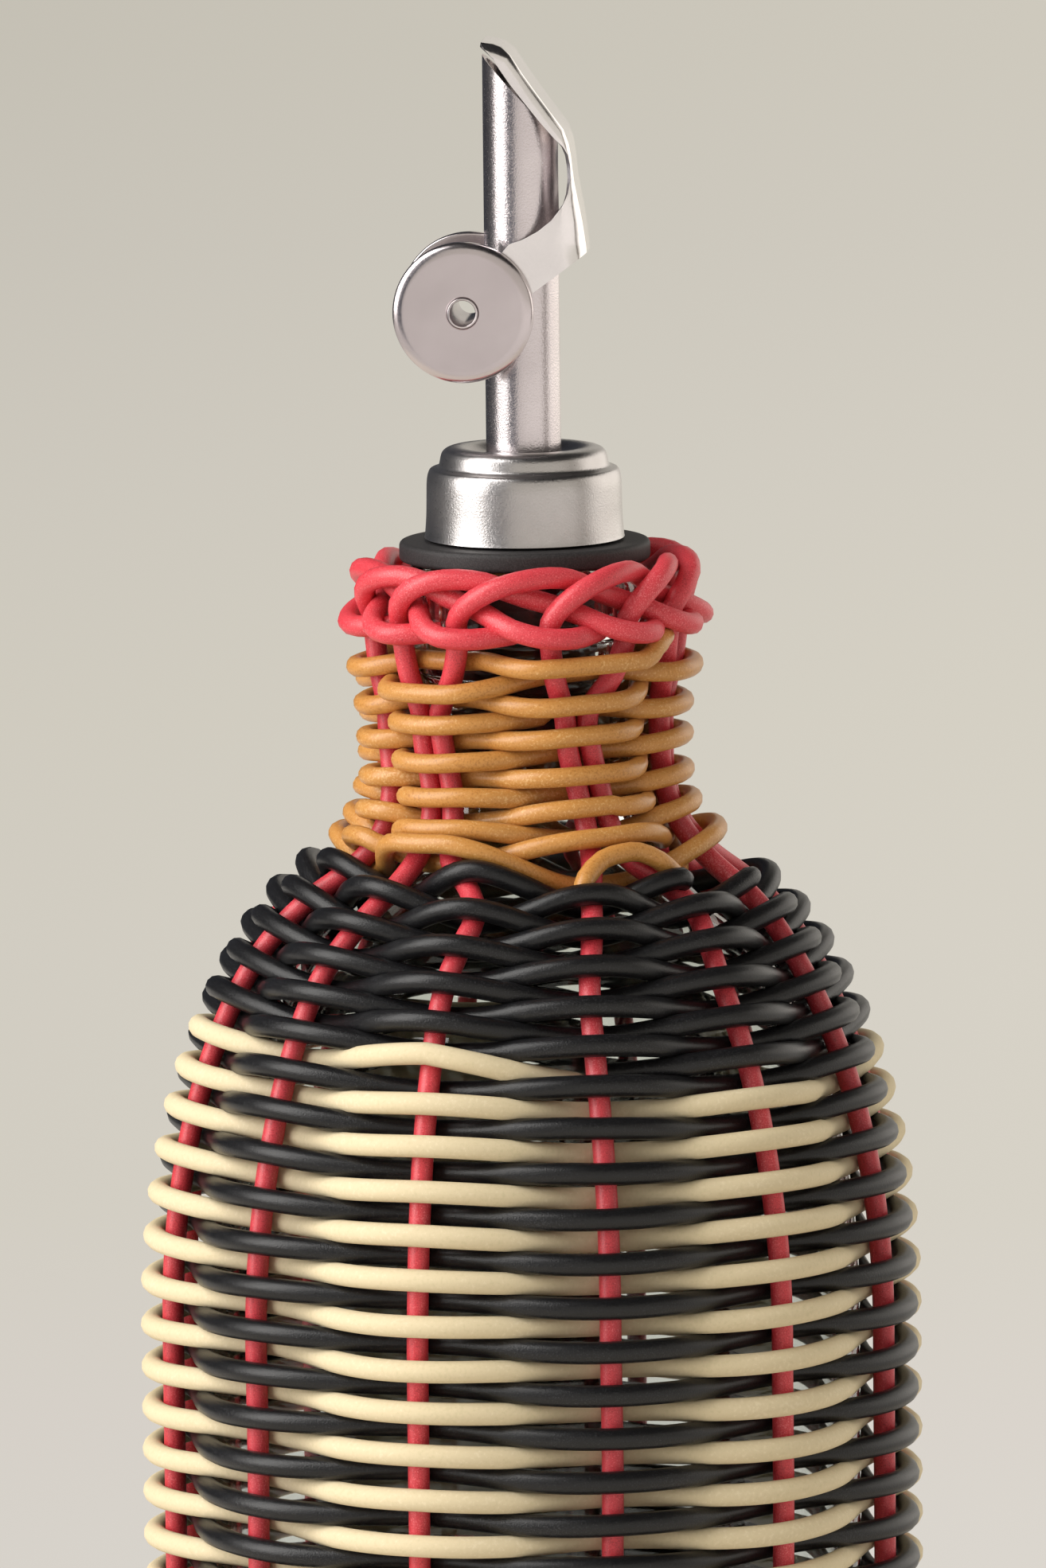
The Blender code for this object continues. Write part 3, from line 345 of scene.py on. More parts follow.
def soft_lamp(name, azimuth, distance, low, high, width, power, colour):
    """A tall soft lamp that stands at an azimuth from the camera's side and faces the bottle."""
    data = bpy.data.lights.new(name, "AREA")
    data.shape = "RECTANGLE"
    data.size = width
    data.size_y = high - low
    data.energy = power
    data.color = linear(colour)[:3]
    lamp = bpy.data.objects.new(name, data)
    bpy.context.scene.collection.objects.link(lamp)
    turn = math.radians(azimuth)
    lamp.location = (distance * math.sin(turn), -distance * math.cos(turn), (low + high) / 2)
    aim = LAMP_AIM - lamp.location
    lamp.rotation_mode = "QUATERNION"
    lamp.rotation_quaternion = aim.to_track_quat("-Z", "Y")


soft_lamp("key_lamp", azimuth=-62, distance=1.5, low=0.0, high=2.0, width=1.3, power=42, colour="#FFFDFA")
soft_lamp("right_lamp", azimuth=124, distance=1.6, low=0.0, high=1.0, width=2.1, power=5.5, colour="#FFF8F0")
bpy.context.scene.view_settings.view_transform = "Standard"
print("lamps:", len(bpy.data.lights))

# %% [markdown]
# ## Something dark to mirror
#
# Steel shows what stands round it, and in an all-pale room it turns to milk. The steel in the
# photograph mirrors dark stretches of its room. Darker walls could give them, but they would take
# light from the cords too. So three upright cards and a ceiling stand round the cruet, and only
# mirrored light meets them.

# %% Dark cards
CARD_DISTANCE = 0.95
CARD_FOOT = 0.002
CARD_STEP_DEGREES = 8
CEILING_RADIUS = 3.0
CEILING_HEIGHT = 2.1


def mirrored_only(name, shape, colour):
    """Turn a bmesh into a card of matt dark paper that only mirrored light meets."""
    material, *_ = new_finish(name, Base_Color=colour, Roughness=1.0, Specular_IOR_Level=0.0)
    card = on_stage(name, shape, material)
    card.visible_camera = False
    card.visible_diffuse = False
    card.visible_transmission = False
    card.visible_shadow = False


def upright_card(name, first, last, height, colour):
    """A curved card that stands between two azimuths, given in degrees."""
    shape = bmesh.new()
    steps = max(2, round((last - first) / CARD_STEP_DEGREES))
    turns = [math.radians(first + (last - first) * step / steps) for step in range(steps + 1)]
    verts = [shape.verts.new((CARD_DISTANCE * math.sin(turn), -CARD_DISTANCE * math.cos(turn), CARD_FOOT))
             for turn in turns]
    edges = [shape.edges.new(pair) for pair in zip(verts, verts[1:])]
    grown = bmesh.ops.extrude_edge_only(shape, edges=edges)
    upper = [item for item in grown["geom"] if isinstance(item, bmesh.types.BMVert)]
    bmesh.ops.translate(shape, verts=upper, vec=(0, 0, height))
    mirrored_only(name, shape, colour)


upright_card("dark_wall", first=-176, last=-84, height=1.0, colour="#373B44")
upright_card("dark_strip", first=-46, last=-18, height=0.9, colour="#3E4558")
upright_card("brown_strip", first=72, last=81, height=0.9, colour="#4A3F35")

shape = bmesh.new()
bmesh.ops.create_circle(shape, cap_ends=True, segments=48, radius=CEILING_RADIUS)
bmesh.ops.translate(shape, verts=shape.verts, vec=(0, 0, CEILING_HEIGHT))
mirrored_only("dark_ceiling", shape, "#2C2D31")
print("ceiling for mirrors at", CEILING_HEIGHT, "m")

# %% [markdown]
# ## Turned pieces
#
# Bottle, stopper, cap, tube, discs, rivet and pins are all round. On a lathe or a press they get their
# shape from one profile, and so they do here: a line of points is spun once round an axis. Corners of
# the line are rounded first, because the light that catches on a small round edge is what makes metal
# and glass look real.

# %% Spin a profile
MERGE_DISTANCE = 0.004 * MM


def rounded(points, steps=5):
    """A profile whose corners are rounded. Each point is (radius, height) or (radius, height, rounding)."""
    line = []
    for index, point in enumerate(points):
        here = Vector(point[:2])
        if len(point) == 2 or index in (0, len(points) - 1):
            line.append(here)
            continue
        to_last = Vector(points[index - 1][:2]) - here
        to_next = Vector(points[index + 1][:2]) - here
        start = here + to_last.normalized() * min(point[2], to_last.length / 2)
        end = here + to_next.normalized() * min(point[2], to_next.length / 2)
        for step in range(steps + 1):
            share = step / steps
            line.append(start.lerp(here, share).lerp(here.lerp(end, share), share))
    return line


def in_metres(points):
    """The points of a profile that is written in millimetres."""
    return [tuple(size * MM for size in point) for point in points]


def add_piece(name, shape, material, body, smooth_angle=35):
    """Turn a finished bmesh into a piece that rides on a body."""
    bmesh.ops.remove_doubles(shape, verts=shape.verts, dist=MERGE_DISTANCE)
    bmesh.ops.recalc_face_normals(shape, faces=shape.faces)
    mesh = bpy.data.meshes.new(name)
    shape.to_mesh(mesh)
    shape.free()
    mesh.shade_smooth()
    mesh.set_sharp_from_angle(angle=math.radians(smooth_angle))
    mesh.materials.append(material)
    piece = bpy.data.objects.new(name, mesh)
    bpy.context.scene.collection.objects.link(piece)
    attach(piece, body)
    return piece


def spun(profile, steps=96, closed=True):
    """A bmesh of a profile that is spun once round the axis."""
    shape = bmesh.new()
    verts = [shape.verts.new((point[0], 0, point[1])) for point in profile]
    edges = [shape.edges.new(pair) for pair in zip(verts, verts[1:])]
    if closed:
        edges.append(shape.edges.new((verts[-1], verts[0])))
    bmesh.ops.spin(shape, geom=verts + edges, cent=(0, 0, 0), axis=(0, 0, 1), angle=2 * math.pi,
                   steps=steps, use_merge=True)
    return shape


def turned(name, profile, material, body, node, place=None, **spin):
    """Spin a profile, put it in its place, and let it stand for its CAD node."""
    shape = spun(profile, **spin)
    if place:
        bmesh.ops.transform(shape, matrix=place, verts=shape.verts)
    piece = add_piece(name, shape, material, body)
    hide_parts(node)
    print(name, len(piece.data.polygons), "faces")
    return piece


def across(x, y, z):
    """The placing that lays a turned piece's axis along Y, with its middle at a point."""
    return Matrix.Translation((x, y, z)) @ Matrix.Rotation(math.radians(-90), 4, "X")


# %% [markdown]
# ## The line that the cover follows
#
# The glass and the woven cover share one outline: a straight side, a shoulder that is part of an
# ellipse, a short bend and a straight neck. Every stake runs up this line, and every weaver runs round
# it, so it is worked out once, as points of radius and height. The cords need to be placed by the
# length along it, because a weaver's rows lie at even steps over the shoulder too.

# %% Outline of the glass and the cover
SHOULDER_START = 118.0 * MM
SHOULDER_CENTRE = 14.0 * MM
SHOULDER_SWEEP = math.radians(71.3)
SHOULDER_STEPS = 24
BEND_STEPS = 8


def shoulder_line(body_radius, height, neck_radius, bend):
    """Points (radius, z) from the top of the straight side to the foot of the straight neck."""
    across_shoulder = body_radius - SHOULDER_CENTRE
    points = []
    for step in range(SHOULDER_STEPS + 1):
        turn = SHOULDER_SWEEP * step / SHOULDER_STEPS
        radius = SHOULDER_CENTRE + across_shoulder * math.cos(turn)
        points.append(Vector((radius, SHOULDER_START + height * math.sin(turn))))
    start = points[-1]
    slope = height * math.cos(SHOULDER_SWEEP) / (across_shoulder * math.sin(SHOULDER_SWEEP))
    corner = Vector((neck_radius, start.y + (start.x - neck_radius) * slope))
    end = Vector((neck_radius, corner.y + bend))
    for step in range(1, BEND_STEPS + 1):
        share = step / BEND_STEPS
        points.append(start.lerp(corner, share).lerp(corner.lerp(end, share), share))
    return points


class Line:
    """A line of (radius, z) points that is walked by the length along it."""

    def __init__(self, points):
        self.points = [Vector(point) for point in points]
        self.lengths = [0.0]
        for start, end in zip(self.points, self.points[1:]):
            self.lengths.append(self.lengths[-1] + (end - start).length)

    def place(self, length, offset):
        """The point at a length, moved out from the surface by the offset."""
        index = 0
        while index < len(self.lengths) - 2 and self.lengths[index + 1] < length:
            index += 1
        start, end = self.points[index], self.points[index + 1]
        share = (length - self.lengths[index]) / (end - start).length
        outward = Vector(((end - start).y, (start - end).x)).normalized()
        return start.lerp(end, share) + outward * offset

    def length_at(self, z):
        """The length at which the line reaches a height."""
        for index, (start, end) in enumerate(zip(self.points, self.points[1:])):
            if start.y <= z <= end.y:
                return self.lengths[index] + (end - start).length * (z - start.y) / (end.y - start.y)
        return self.lengths[-1]


def around(radius, angle, z):
    """The point at an angle round the bottle, counted from the front towards +X."""
    return Vector((radius * math.sin(angle), -radius * math.cos(angle), z))


# %% [markdown]
# ## The glass bottle
#
# Only glints of the bottle show between the cords, yet they matter: without real glass behind it the
# cover looks empty. It has a thick floor, a wall of even thickness, and a neck with a round bead at the
# lip and two fine rings below it, as pressed bottles have. One profile goes up the outside and down the
# inside, and both ends lie on the axis, so the spin closes it.

# %% Glass bottle
GLASS_RADIUS = 35.2 * MM
GLASS_FOOT = 7.8 * MM
GLASS_FLOOR = 11.2 * MM
GLASS_TOP = 198.0 * MM
GLASS_SHOULDER = 44.5 * MM
GLASS_BEND = 6 * MM
NECK_RADIUS = 10.9 * MM
NECK_BORE = 8.9 * MM
BEAD_RADIUS = 12.5 * MM
WALL = 2.4 * MM
NECK_RINGS = (183.2 * MM, 186.4 * MM)
RING_HALF = 0.8 * MM
RING_RISE = 0.7 * MM

outside = [(0, GLASS_FOOT + 1.5 * MM), (20 * MM, GLASS_FOOT + 1.2 * MM, 3 * MM),
           (27 * MM, GLASS_FOOT, 2 * MM), (GLASS_RADIUS, GLASS_FOOT, 5 * MM)]
outside += map(tuple, shoulder_line(GLASS_RADIUS, GLASS_SHOULDER, NECK_RADIUS, GLASS_BEND))
for ring in NECK_RINGS:
    outside += [(NECK_RADIUS, ring - RING_HALF), (NECK_RADIUS + RING_RISE, ring, 0.3 * MM),
                (NECK_RADIUS, ring + RING_HALF)]
outside += [(NECK_RADIUS, 190.2 * MM, 0.5 * MM), (BEAD_RADIUS, 191.6 * MM, 1.2 * MM),
            (BEAD_RADIUS, GLASS_TOP, 1.2 * MM)]
inside = [(0, GLASS_FLOOR), (GLASS_RADIUS - WALL, GLASS_FLOOR, 4 * MM)]
inside += map(tuple, shoulder_line(GLASS_RADIUS - WALL, GLASS_SHOULDER - WALL, NECK_BORE, GLASS_BEND))
inside += [(NECK_BORE, GLASS_TOP, 0.6 * MM)]
bottle = turned("glass", rounded(outside + inside[::-1]), clear_glass, "bottle", "glass_bottle", closed=False)

# %% [markdown]
# ## How a woven cord runs
#
# A weaver goes in front of one stake and behind the next. Drawn as straight runs it looks like bent
# wire, because a real soft cord swings from side to side in one even wave. So its route is given by a
# few anchors, one at each stake it passes, and the swing between two of them is eased like half a
# cosine wave. A slow drift along the surface lets the rows crowd and part a little, as they do in hand
# work. The strands on the body read the same drift, so they never run into each other.

# %% Woven routes
WEAVER_STEP = 1.0 * MM
CORD_STEP = 1.3 * MM
DRIFT_CIRCLE = 2.2
DRIFT_LENGTH = 13 * MM
CUT_END = 0.8


def eased(share):
    """A share that starts and ends gently, like half a cosine wave."""
    share = min(max(share, 0.0), 1.0)
    return (1 - math.cos(math.pi * share)) / 2


def woven_route(line, anchors, wander):
    """The route through anchors of (angle, offset, length along the line)."""
    route = []
    for (angle, offset, length), (next_angle, next_offset, next_length) in zip(anchors, anchors[1:]):
        radius = line.place(length, 0).x
        steps = max(3, round((next_angle - angle) * radius / WEAVER_STEP))
        for step in range(steps):
            share = step / steps
            here = angle + (next_angle - angle) * share
            along = length + (next_length - length) * share
            drift = wander * noise.noise(around(DRIFT_CIRCLE, here, along / DRIFT_LENGTH))
            point = line.place(along + drift, offset + (next_offset - offset) * eased(share))
            route.append(around(point.x + bulge(here, point.y), here, point.y))
    return route


def smooth_route(points):
    """A smooth curve through the points, read off in short even steps."""
    route = []
    padded = [points[0] * 2 - points[1], *points, points[-1] * 2 - points[-2]]
    for before, start, end, after in zip(padded, padded[1:], padded[2:], padded[3:]):
        steps = max(1, round((end - start).length / CORD_STEP))
        for step in range(steps):
            share = step / steps
            bend = 2 * before - 5 * start + 4 * end - after
            twist = 3 * start - before - 3 * end + after
            route.append((2 * start + (end - before) * share + bend * share ** 2 + twist * share ** 3) / 2)
    return [*route, points[-1]]


def cord(name, route, radius, material, slot, *nodes):
    """A round cord along a route, which stands for the CAD nodes named."""
    curve = bpy.data.curves.new(name, "CURVE")
    curve.dimensions = "3D"
    curve.bevel_depth = radius
    curve.bevel_resolution = 4
    curve.use_fill_caps = True
    spline = curve.splines.new("POLY")
    spline.points.add(len(route) - 1)
    spline.use_smooth = True
    for knot, point in zip(spline.points, route):
        knot.co = (*point, 1.0)
    for end in (0, -1):
        spline.points[end].radius = CUT_END
    curve.materials.append(material)
    piece = bpy.data.objects.new(name, curve)
    bpy.context.scene.collection.objects.link(piece)
    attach(piece, "bottle")
    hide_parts(*nodes)
    print(name, len(route), "points")


# %% [markdown]
# ## The stakes and the braided rim
#
# Six long red cords cross under the bottle, and their twelve ends stand up round it. On the neck they
# close up in pairs. At the top each one is bent over the next, led behind two more and tucked away low
# in front, which makes the plaited rim. The rim is the hardest form on the object. It could be drawn as
# one twisted ring, but then nothing would join it to the stakes. So each stake's own end is led along
# the same sixteen places of the border, given as shares of the stake pitch, the depth and the height.

# %% Stake angles
STAKES = 12
PITCH_ANGLE = 2 * math.pi / STAKES
COVER_TURN = math.radians(4.0)
FIRST_BODY_ANGLE = COVER_TURN - math.radians(78)
FIRST_RIM_ANGLE = COVER_TURN - math.radians(84)
STAKE_CIRCLE = 39.3 * MM
NECK_CIRCLE = 14.6 * MM
RISER_CIRCLE = 16.38 * MM
RISER_FOOT = 191.3 * MM
FLARE_START = 183.0 * MM
FLARE_END = 190.0 * MM
PAIRING_START = 163.0 * MM
PAIRING_END = 170.0 * MM
NECK_TWIST = math.radians(7.5)
TWIST_START = 154.0 * MM
TWIST_FULL = 171.0 * MM
PAIR_ANGLE = 2.65 * MM / NECK_CIRCLE
GROUP_COUNTS = (1, 2, 2, 2, 2, 2, 1)
GROUP_DEGREES = (-75, -43, 21, 80, 140, 200, 250)
RIM_NUDGES = [math.radians(turn) for turn in (4, 1, -2, 3, 4.5, 2, 0, -2, 1, 2, -1, 0)]
BULGE = 0.8 * MM
BULGE_START = 166 * MM
BULGE_RISE = 8 * MM
BULGE_END = 184 * MM
BULGE_FALL = 6 * MM

neck_groups = []
neck_angles = []
for count, middle in zip(GROUP_COUNTS, GROUP_DEGREES):
    neck_groups.append(tuple(range(len(neck_angles), len(neck_angles) + count)))
    for place in range(count):
        neck_angles.append(COVER_TURN + math.radians(middle) + (place - (count - 1) / 2) * PAIR_ANGLE)


def stake_angle(stake, z):
    """Evenly spaced on the body, close to its partner on the neck, and evenly spaced again in the rim."""
    body = FIRST_BODY_ANGLE + PITCH_ANGLE * stake
    rim = FIRST_RIM_ANGLE + PITCH_ANGLE * stake + RIM_NUDGES[stake]
    neck = neck_angles[stake]
    if z < FLARE_START:
        twist = NECK_TWIST * eased((z - TWIST_START) / (TWIST_FULL - TWIST_START))
        twist *= 1 - eased((z - TWIST_FULL) / (FLARE_START - TWIST_FULL))
        return body + twist + (neck - body) * eased((z - PAIRING_START) / (PAIRING_END - PAIRING_START))
    return neck + (rim - neck) * eased((z - FLARE_START) / (FLARE_END - FLARE_START))


def bulge(angle, z):
    """How much wider the cover of the neck is at the left, where the hand pulled less."""
    height = eased((z - BULGE_START) / BULGE_RISE) * (1 - eased((z - BULGE_END) / BULGE_FALL))
    return BULGE * height * max(0.0, -math.sin(angle)) ** 2


print("stakes:", len(neck_angles), "in", len(neck_groups), "groups on the neck")

# %% Stake routes
BASE_HEIGHT = 3.9 * MM
BASE_BEND = 4.6 * MM
COVER_SHOULDER = 49.0 * MM
COVER_BEND = 7 * MM
SIDE_STEP = 4 * MM
# How far a stake sways to either side, in radians.
SWAY = 0.006
SWAY_LENGTH = 20 * MM
SWAY_SEED = 7.3
RIM_BACK = 14.4 * MM
RIM_DEPTH = 4.6 * MM
RIM_HEIGHT = 7.1 * MM
RIM_DROP = 0.85 * MM
RIM_DROP_SIDE = math.radians(-110)
RIM_SHARES = (
    (0.00, 0.50, 0.30), (0.13, 0.68, 0.58), (0.38, 0.76, 0.83), (0.68, 0.64, 0.97), (1.00, 0.42, 1.00),
    (1.28, 0.27, 0.94), (1.50, 0.22, 0.82), (1.72, 0.17, 0.70), (1.95, 0.12, 0.60), (2.18, 0.20, 0.50),
    (2.38, 0.48, 0.40), (2.60, 0.82, 0.25), (2.90, 1.00, 0.12), (3.22, 0.90, 0.09), (3.50, 0.50, 0.12),
    (3.70, 0.30, 0.16),
)
CROSSING_RADII = (30 * MM, 24.5 * MM, 19 * MM, 13.6 * MM)
CROSSING_REACHES = (-7 * MM, -2.3 * MM, 2.3 * MM, 7 * MM)
CROSSING_SPACING = 2.7 * MM

base_edge = []
for step in range(BEND_STEPS + 1):
    turn = math.pi / 2 * step / BEND_STEPS
    radius = STAKE_CIRCLE - BASE_BEND * (1 - math.sin(turn))
    base_edge.append(Vector((radius, BASE_HEIGHT + BASE_BEND * (1 - math.cos(turn)))))
shoulder = shoulder_line(STAKE_CIRCLE, COVER_SHOULDER, NECK_CIRCLE, COVER_BEND)
cover_line = Line([*base_edge, *shoulder, (NECK_CIRCLE, FLARE_START), (RISER_CIRCLE, FLARE_END),
                   (RISER_CIRCLE, RISER_FOOT)])


def side_route(stake):
    """Up the side, over the shoulder, up the neck and through the rim."""
    points = []
    count = round(cover_line.lengths[-1] / SIDE_STEP)
    for step in range(count + 1):
        point = cover_line.place(cover_line.lengths[-1] * step / count, 0)
        sway = SWAY * noise.noise(Vector((stake * SWAY_SEED, 0, point.y / SWAY_LENGTH)))
        angle = stake_angle(stake, point.y) + sway
        points.append(around(point.x + bulge(angle, point.y), angle, point.y))
    for turn, depth, height in RIM_SHARES:
        place = stake + turn
        low = math.floor(place)
        nudge = RIM_NUDGES[low % STAKES] * (low + 1 - place) + RIM_NUDGES[(low + 1) % STAKES] * (place - low)
        angle = FIRST_RIM_ANGLE + PITCH_ANGLE * place + nudge
        drop = RIM_DROP * height * (1 + math.cos(angle - RIM_DROP_SIDE)) / 2
        points.append(around(RIM_BACK + RIM_DEPTH * depth, angle, RISER_FOOT + RIM_HEIGHT * height - drop))
    return points


def crossing_route(middle_angle, row, height):
    """Across the base, from one fan of three stakes to the opposite one."""
    along = Vector((math.sin(middle_angle), -math.cos(middle_angle), 0))
    aside = Vector((math.cos(middle_angle), math.sin(middle_angle), 0)) * row * CROSSING_SPACING
    lift = Vector((0, 0, height))
    fan = PITCH_ANGLE * row
    points = [around(radius, middle_angle + math.pi - fan, BASE_HEIGHT) for radius in CROSSING_RADII]
    points += [along * reach + aside + lift for reach in CROSSING_REACHES]
    points += [around(radius, middle_angle + fan, BASE_HEIGHT) for radius in reversed(CROSSING_RADII)]
    return points


print("one stake's side:", round(cover_line.lengths[-1] / MM), "mm")

# %% Stake cords
STAKE_RADIUS = 1.16 * MM
LOWER_BUNDLE = 2.65 * MM
UPPER_BUNDLE = 5.15 * MM

number = 0
for middle, height in ((1, LOWER_BUNDLE), (4, UPPER_BUNDLE)):
    for row in (-1, 0, 1):
        number += 1
        near, far = middle + row, (middle + STAKES // 2 - row) % STAKES
        points = side_route(far)[::-1]
        points += crossing_route(FIRST_BODY_ANGLE + PITCH_ANGLE * middle, row, height)
        points += side_route(near)
        cord(f"red_stake_{number}", smooth_route(points), STAKE_RADIUS, red_plastic, "red_cord",
             f"stake_cord_{number}")

# %% [markdown]
# ## The body weavers
#
# On the straight side two strands chase each other round the bottle, one black and one cream. Where
# the black one is in front the cream one is behind, so each colour stands in columns. At the start of
# the shoulder the cream strand is cut and tucked behind a stake, and a second black one takes over.
# Separate rings, one for each row, would be simpler, but then no row would climb into the next. So
# each strand is one long spiral.

# %% Body weavers
WEAVER_RADIUS = 1.2 * MM
FRONT_PASS = 2.08 * MM
BACK_PASS = 2.4 * MM
WEAVE_PITCH = 4.62 * MM
WEAVE_START = 8.4 * MM
FIRST_STAKE = 3
CREAM_END = 148.0 * MM
BLACK_END = 165.4 * MM
CROWDING_START = 140.0 * MM
CROWDING = 0.93
BODY_WANDER = 0.5 * MM
ROW_LEAN = 1.5 * MM
ROW_LEAN_SIDE = math.radians(25)
ROW_LEAN_EASE = 20 * MM
CREAM_RISES = (0.9 * MM, -1.2 * MM)
SECOND_PASSES = 61.1
SECOND_RISES = (0.5 * MM, 0.8 * MM, 1.1 * MM, 0.3 * MM, -0.8 * MM)
LAST_TURN = math.radians(3)
LAST_OFFSET = 1.0 * MM
LAST_DROP = 0.2 * MM

start = cover_line.length_at(WEAVE_START)
change = cover_line.length_at(CREAM_END)
end = cover_line.length_at(BLACK_END)
resume = start + WEAVE_PITCH / 2 + math.floor((change - start) / WEAVE_PITCH) * WEAVE_PITCH


def body_anchors(first, last, front_parity):
    """The places at the stakes. The rows crowd a little on the shoulder, and all lean down to the right."""
    crowded = cover_line.length_at(CROWDING_START)
    anchors = []
    for step in range(FIRST_STAKE, FIRST_STAKE + int((last - first) / WEAVE_PITCH * STAKES) + 1):
        length = first + WEAVE_PITCH * (step - FIRST_STAKE) / STAKES
        length = min(length, crowded) + max(0.0, length - crowded) * CROWDING
        turn, stake = divmod(step, STAKES)
        offset = FRONT_PASS if step % 2 == front_parity else -BACK_PASS
        angle = stake_angle(stake, cover_line.place(length, 0).y)
        length -= ROW_LEAN * math.sin(angle - ROW_LEAN_SIDE) * eased((length - start) / ROW_LEAN_EASE)
        anchors.append((angle + 2 * math.pi * turn, offset, length))
    return anchors


def lifted(anchors, rises):
    """Move the last anchors along the surface."""
    for place, rise in enumerate(rises, -len(rises)):
        angle, offset, length = anchors[place]
        anchors[place] = (angle, offset, length + rise)
    return anchors


black_anchors = body_anchors(start, end, 1)
cream_anchors = lifted(body_anchors(start + WEAVE_PITCH / 2, resume, 0), CREAM_RISES)
second_anchors = lifted(body_anchors(resume, resume + WEAVE_PITCH * SECOND_PASSES / STAKES, 0), SECOND_RISES)
angle, offset, length = second_anchors[-1]
second_anchors.append((angle + LAST_TURN, LAST_OFFSET, length - LAST_DROP))
for name, anchors, material, slot, node in (
        ("black_strand", black_anchors, black_plastic, "black_cord", "black_weaver"),
        ("cream_strand", cream_anchors, cream_plastic, "cream_cord", "cream_weaver"),
        ("second_black_strand", second_anchors, black_plastic, "black_cord", "shoulder_weaver")):
    cord(name, woven_route(cover_line, anchors, BODY_WANDER), WEAVER_RADIUS, material, slot, node)

# %% [markdown]
# ## The neck weaver
#
# A single thinner tan cord winds round the neck. The stakes stand there in seven groups, and because
# seven is odd the cord changes sides by itself at every turn. It starts as a hook over the last black
# row, its first turns are slack, and its end is tucked under the rim. A stack of rings would miss all
# three, so it is one spiral too. It runs flat across each pair, so a pair gets two anchors. The hook
# and the tucked end are added at places that were read off the photograph.

# %% Neck weaver
TAN_RADIUS = 1.06 * MM
NECK_PASS = 2.25 * MM
NECK_PITCH = 2.04 * MM
NECK_WEAVE_START = 169.0 * MM
NECK_WEAVE_END = 189.4 * MM
NECK_WANDER = 0.3 * MM
NECK_LEAN = 0.5 * MM
NECK_LEAN_SIDE = math.radians(-10)
# How far past the outer stakes of a pair the cord still runs flat, in radians.
PAIR_EDGE = 0.03
FIRST_STEP = -11
# In degrees round the bottle, millimetres of height and millimetres out from the cover's line.
HOOK = (
    (18, 164.2, 1.4), (20, 165.2, 2.2), (26, 166.6, 2.6), (33, 167.2, 2.7), (39, 167.0, 2.6),
    (45, 166.3, 2.2), (50, 165.5, 1.2), (61, 166.2, -1.2),
)
TUCKED_END = ((53, 190.3, 1.9), (60, 190.9, 1.2), (68, 191.25, 0.0))
# For each pass that isn't pulled tight: millimetres up the neck and millimetres out from it.
LOOSE_STEPS = {
    -11: (1.6, 0.0), -10: (1.2, 0.0), -9: (1.0, 0.0), -8: (0.8, 0.0), -7: (0.6, 0.0), -6: (1.2, 0.8),
    -5: (-0.9, -0.6), -4: (-1.0, 0.3), -3: (-0.8, 0.0), -2: (-0.5, 0.0), -1: (-0.2, 0.0), 72: (0.5, 0.0),
}


def neck_anchors():
    """Two places at each group of stakes, one at either edge of it."""
    start, end = cover_line.length_at(NECK_WEAVE_START), cover_line.length_at(NECK_WEAVE_END)
    anchors = []
    for step in range(FIRST_STEP, int((end - start) / NECK_PITCH * len(neck_groups)) + 1):
        rise, slack = LOOSE_STEPS.get(step, (0.0, 0.0))
        length = start + NECK_PITCH * step / len(neck_groups) + rise * MM
        turn, index = divmod(step, len(neck_groups))
        offset = (NECK_PASS if step % 2 == 0 else -NECK_PASS) + slack * MM
        height = cover_line.place(length, 0).y
        angles = [stake_angle(stake, height) for stake in neck_groups[index]]
        for angle in (min(angles) - PAIR_EDGE, max(angles) + PAIR_EDGE):
            lean = NECK_LEAN * (1 - math.sin(angle - NECK_LEAN_SIDE))
            anchors.append((angle + 2 * math.pi * turn, offset, length - lean))
    return anchors


anchors = neck_anchors()
turns = math.floor(anchors[-1][0] / (2 * math.pi)) * 2 * math.pi
for degrees, z, offset in TUCKED_END:
    anchors.append((math.radians(degrees) + turns, offset * MM, cover_line.length_at(z * MM)))
winding = woven_route(cover_line, anchors, NECK_WANDER)
hook = []
for degrees, z, offset in HOOK:
    point = cover_line.place(cover_line.length_at(z * MM), offset * MM)
    hook.append(around(point.x, math.radians(degrees), point.y))
winding = smooth_route([*hook, winding[0]])[:-1] + winding
cord("tan_strand", winding, TAN_RADIUS, tan_plastic, "tan_cord", "neck_weaver")

# %% [markdown]
# ## The base
#
# The base isn't seen in the photograph. A plain disc would do for that view, but the part is used from
# all sides. So it is made as such covers are: two black cords wind out from the crossing, over and
# under the stakes, and the cover stands on a ring of two twisted cords.

# %% Base weavers and foot ring
BASE_PITCH = 5.0 * MM
BASE_START = 16.1 * MM
BASE_END = 33.2 * MM
BASE_PASS = 0.97 * BACK_PASS
BASE_CORD_RADIUS = 1.05 * MM
FOOT_CIRCLE = 36.3 * MM
FOOT_MIDDLE = 1.27 * MM
FOOT_CORD_RADIUS = 0.66 * MM
FOOT_RISE = 0.6 * MM
TWISTS = 42
TWIST_STEPS = 12

base_line = Line([(BASE_START, BASE_HEIGHT), (BASE_END, BASE_HEIGHT)])
for name, delay, parity, node in (("base_strand_a", 0.0, 0, "base_weaver_a"),
                                  ("base_strand_b", BASE_PITCH / 2, 1, "base_weaver_b")):
    anchors = []
    for step in range(int((base_line.lengths[-1] - delay) / BASE_PITCH * STAKES)):
        side = 1 if step % 2 == parity else -1
        angle = FIRST_BODY_ANGLE + PITCH_ANGLE * step
        anchors.append((angle, side * BASE_PASS, delay + BASE_PITCH * step / STAKES))
    cord(name, woven_route(base_line, anchors, 0.0), BASE_CORD_RADIUS, black_plastic, "black_cord", node)

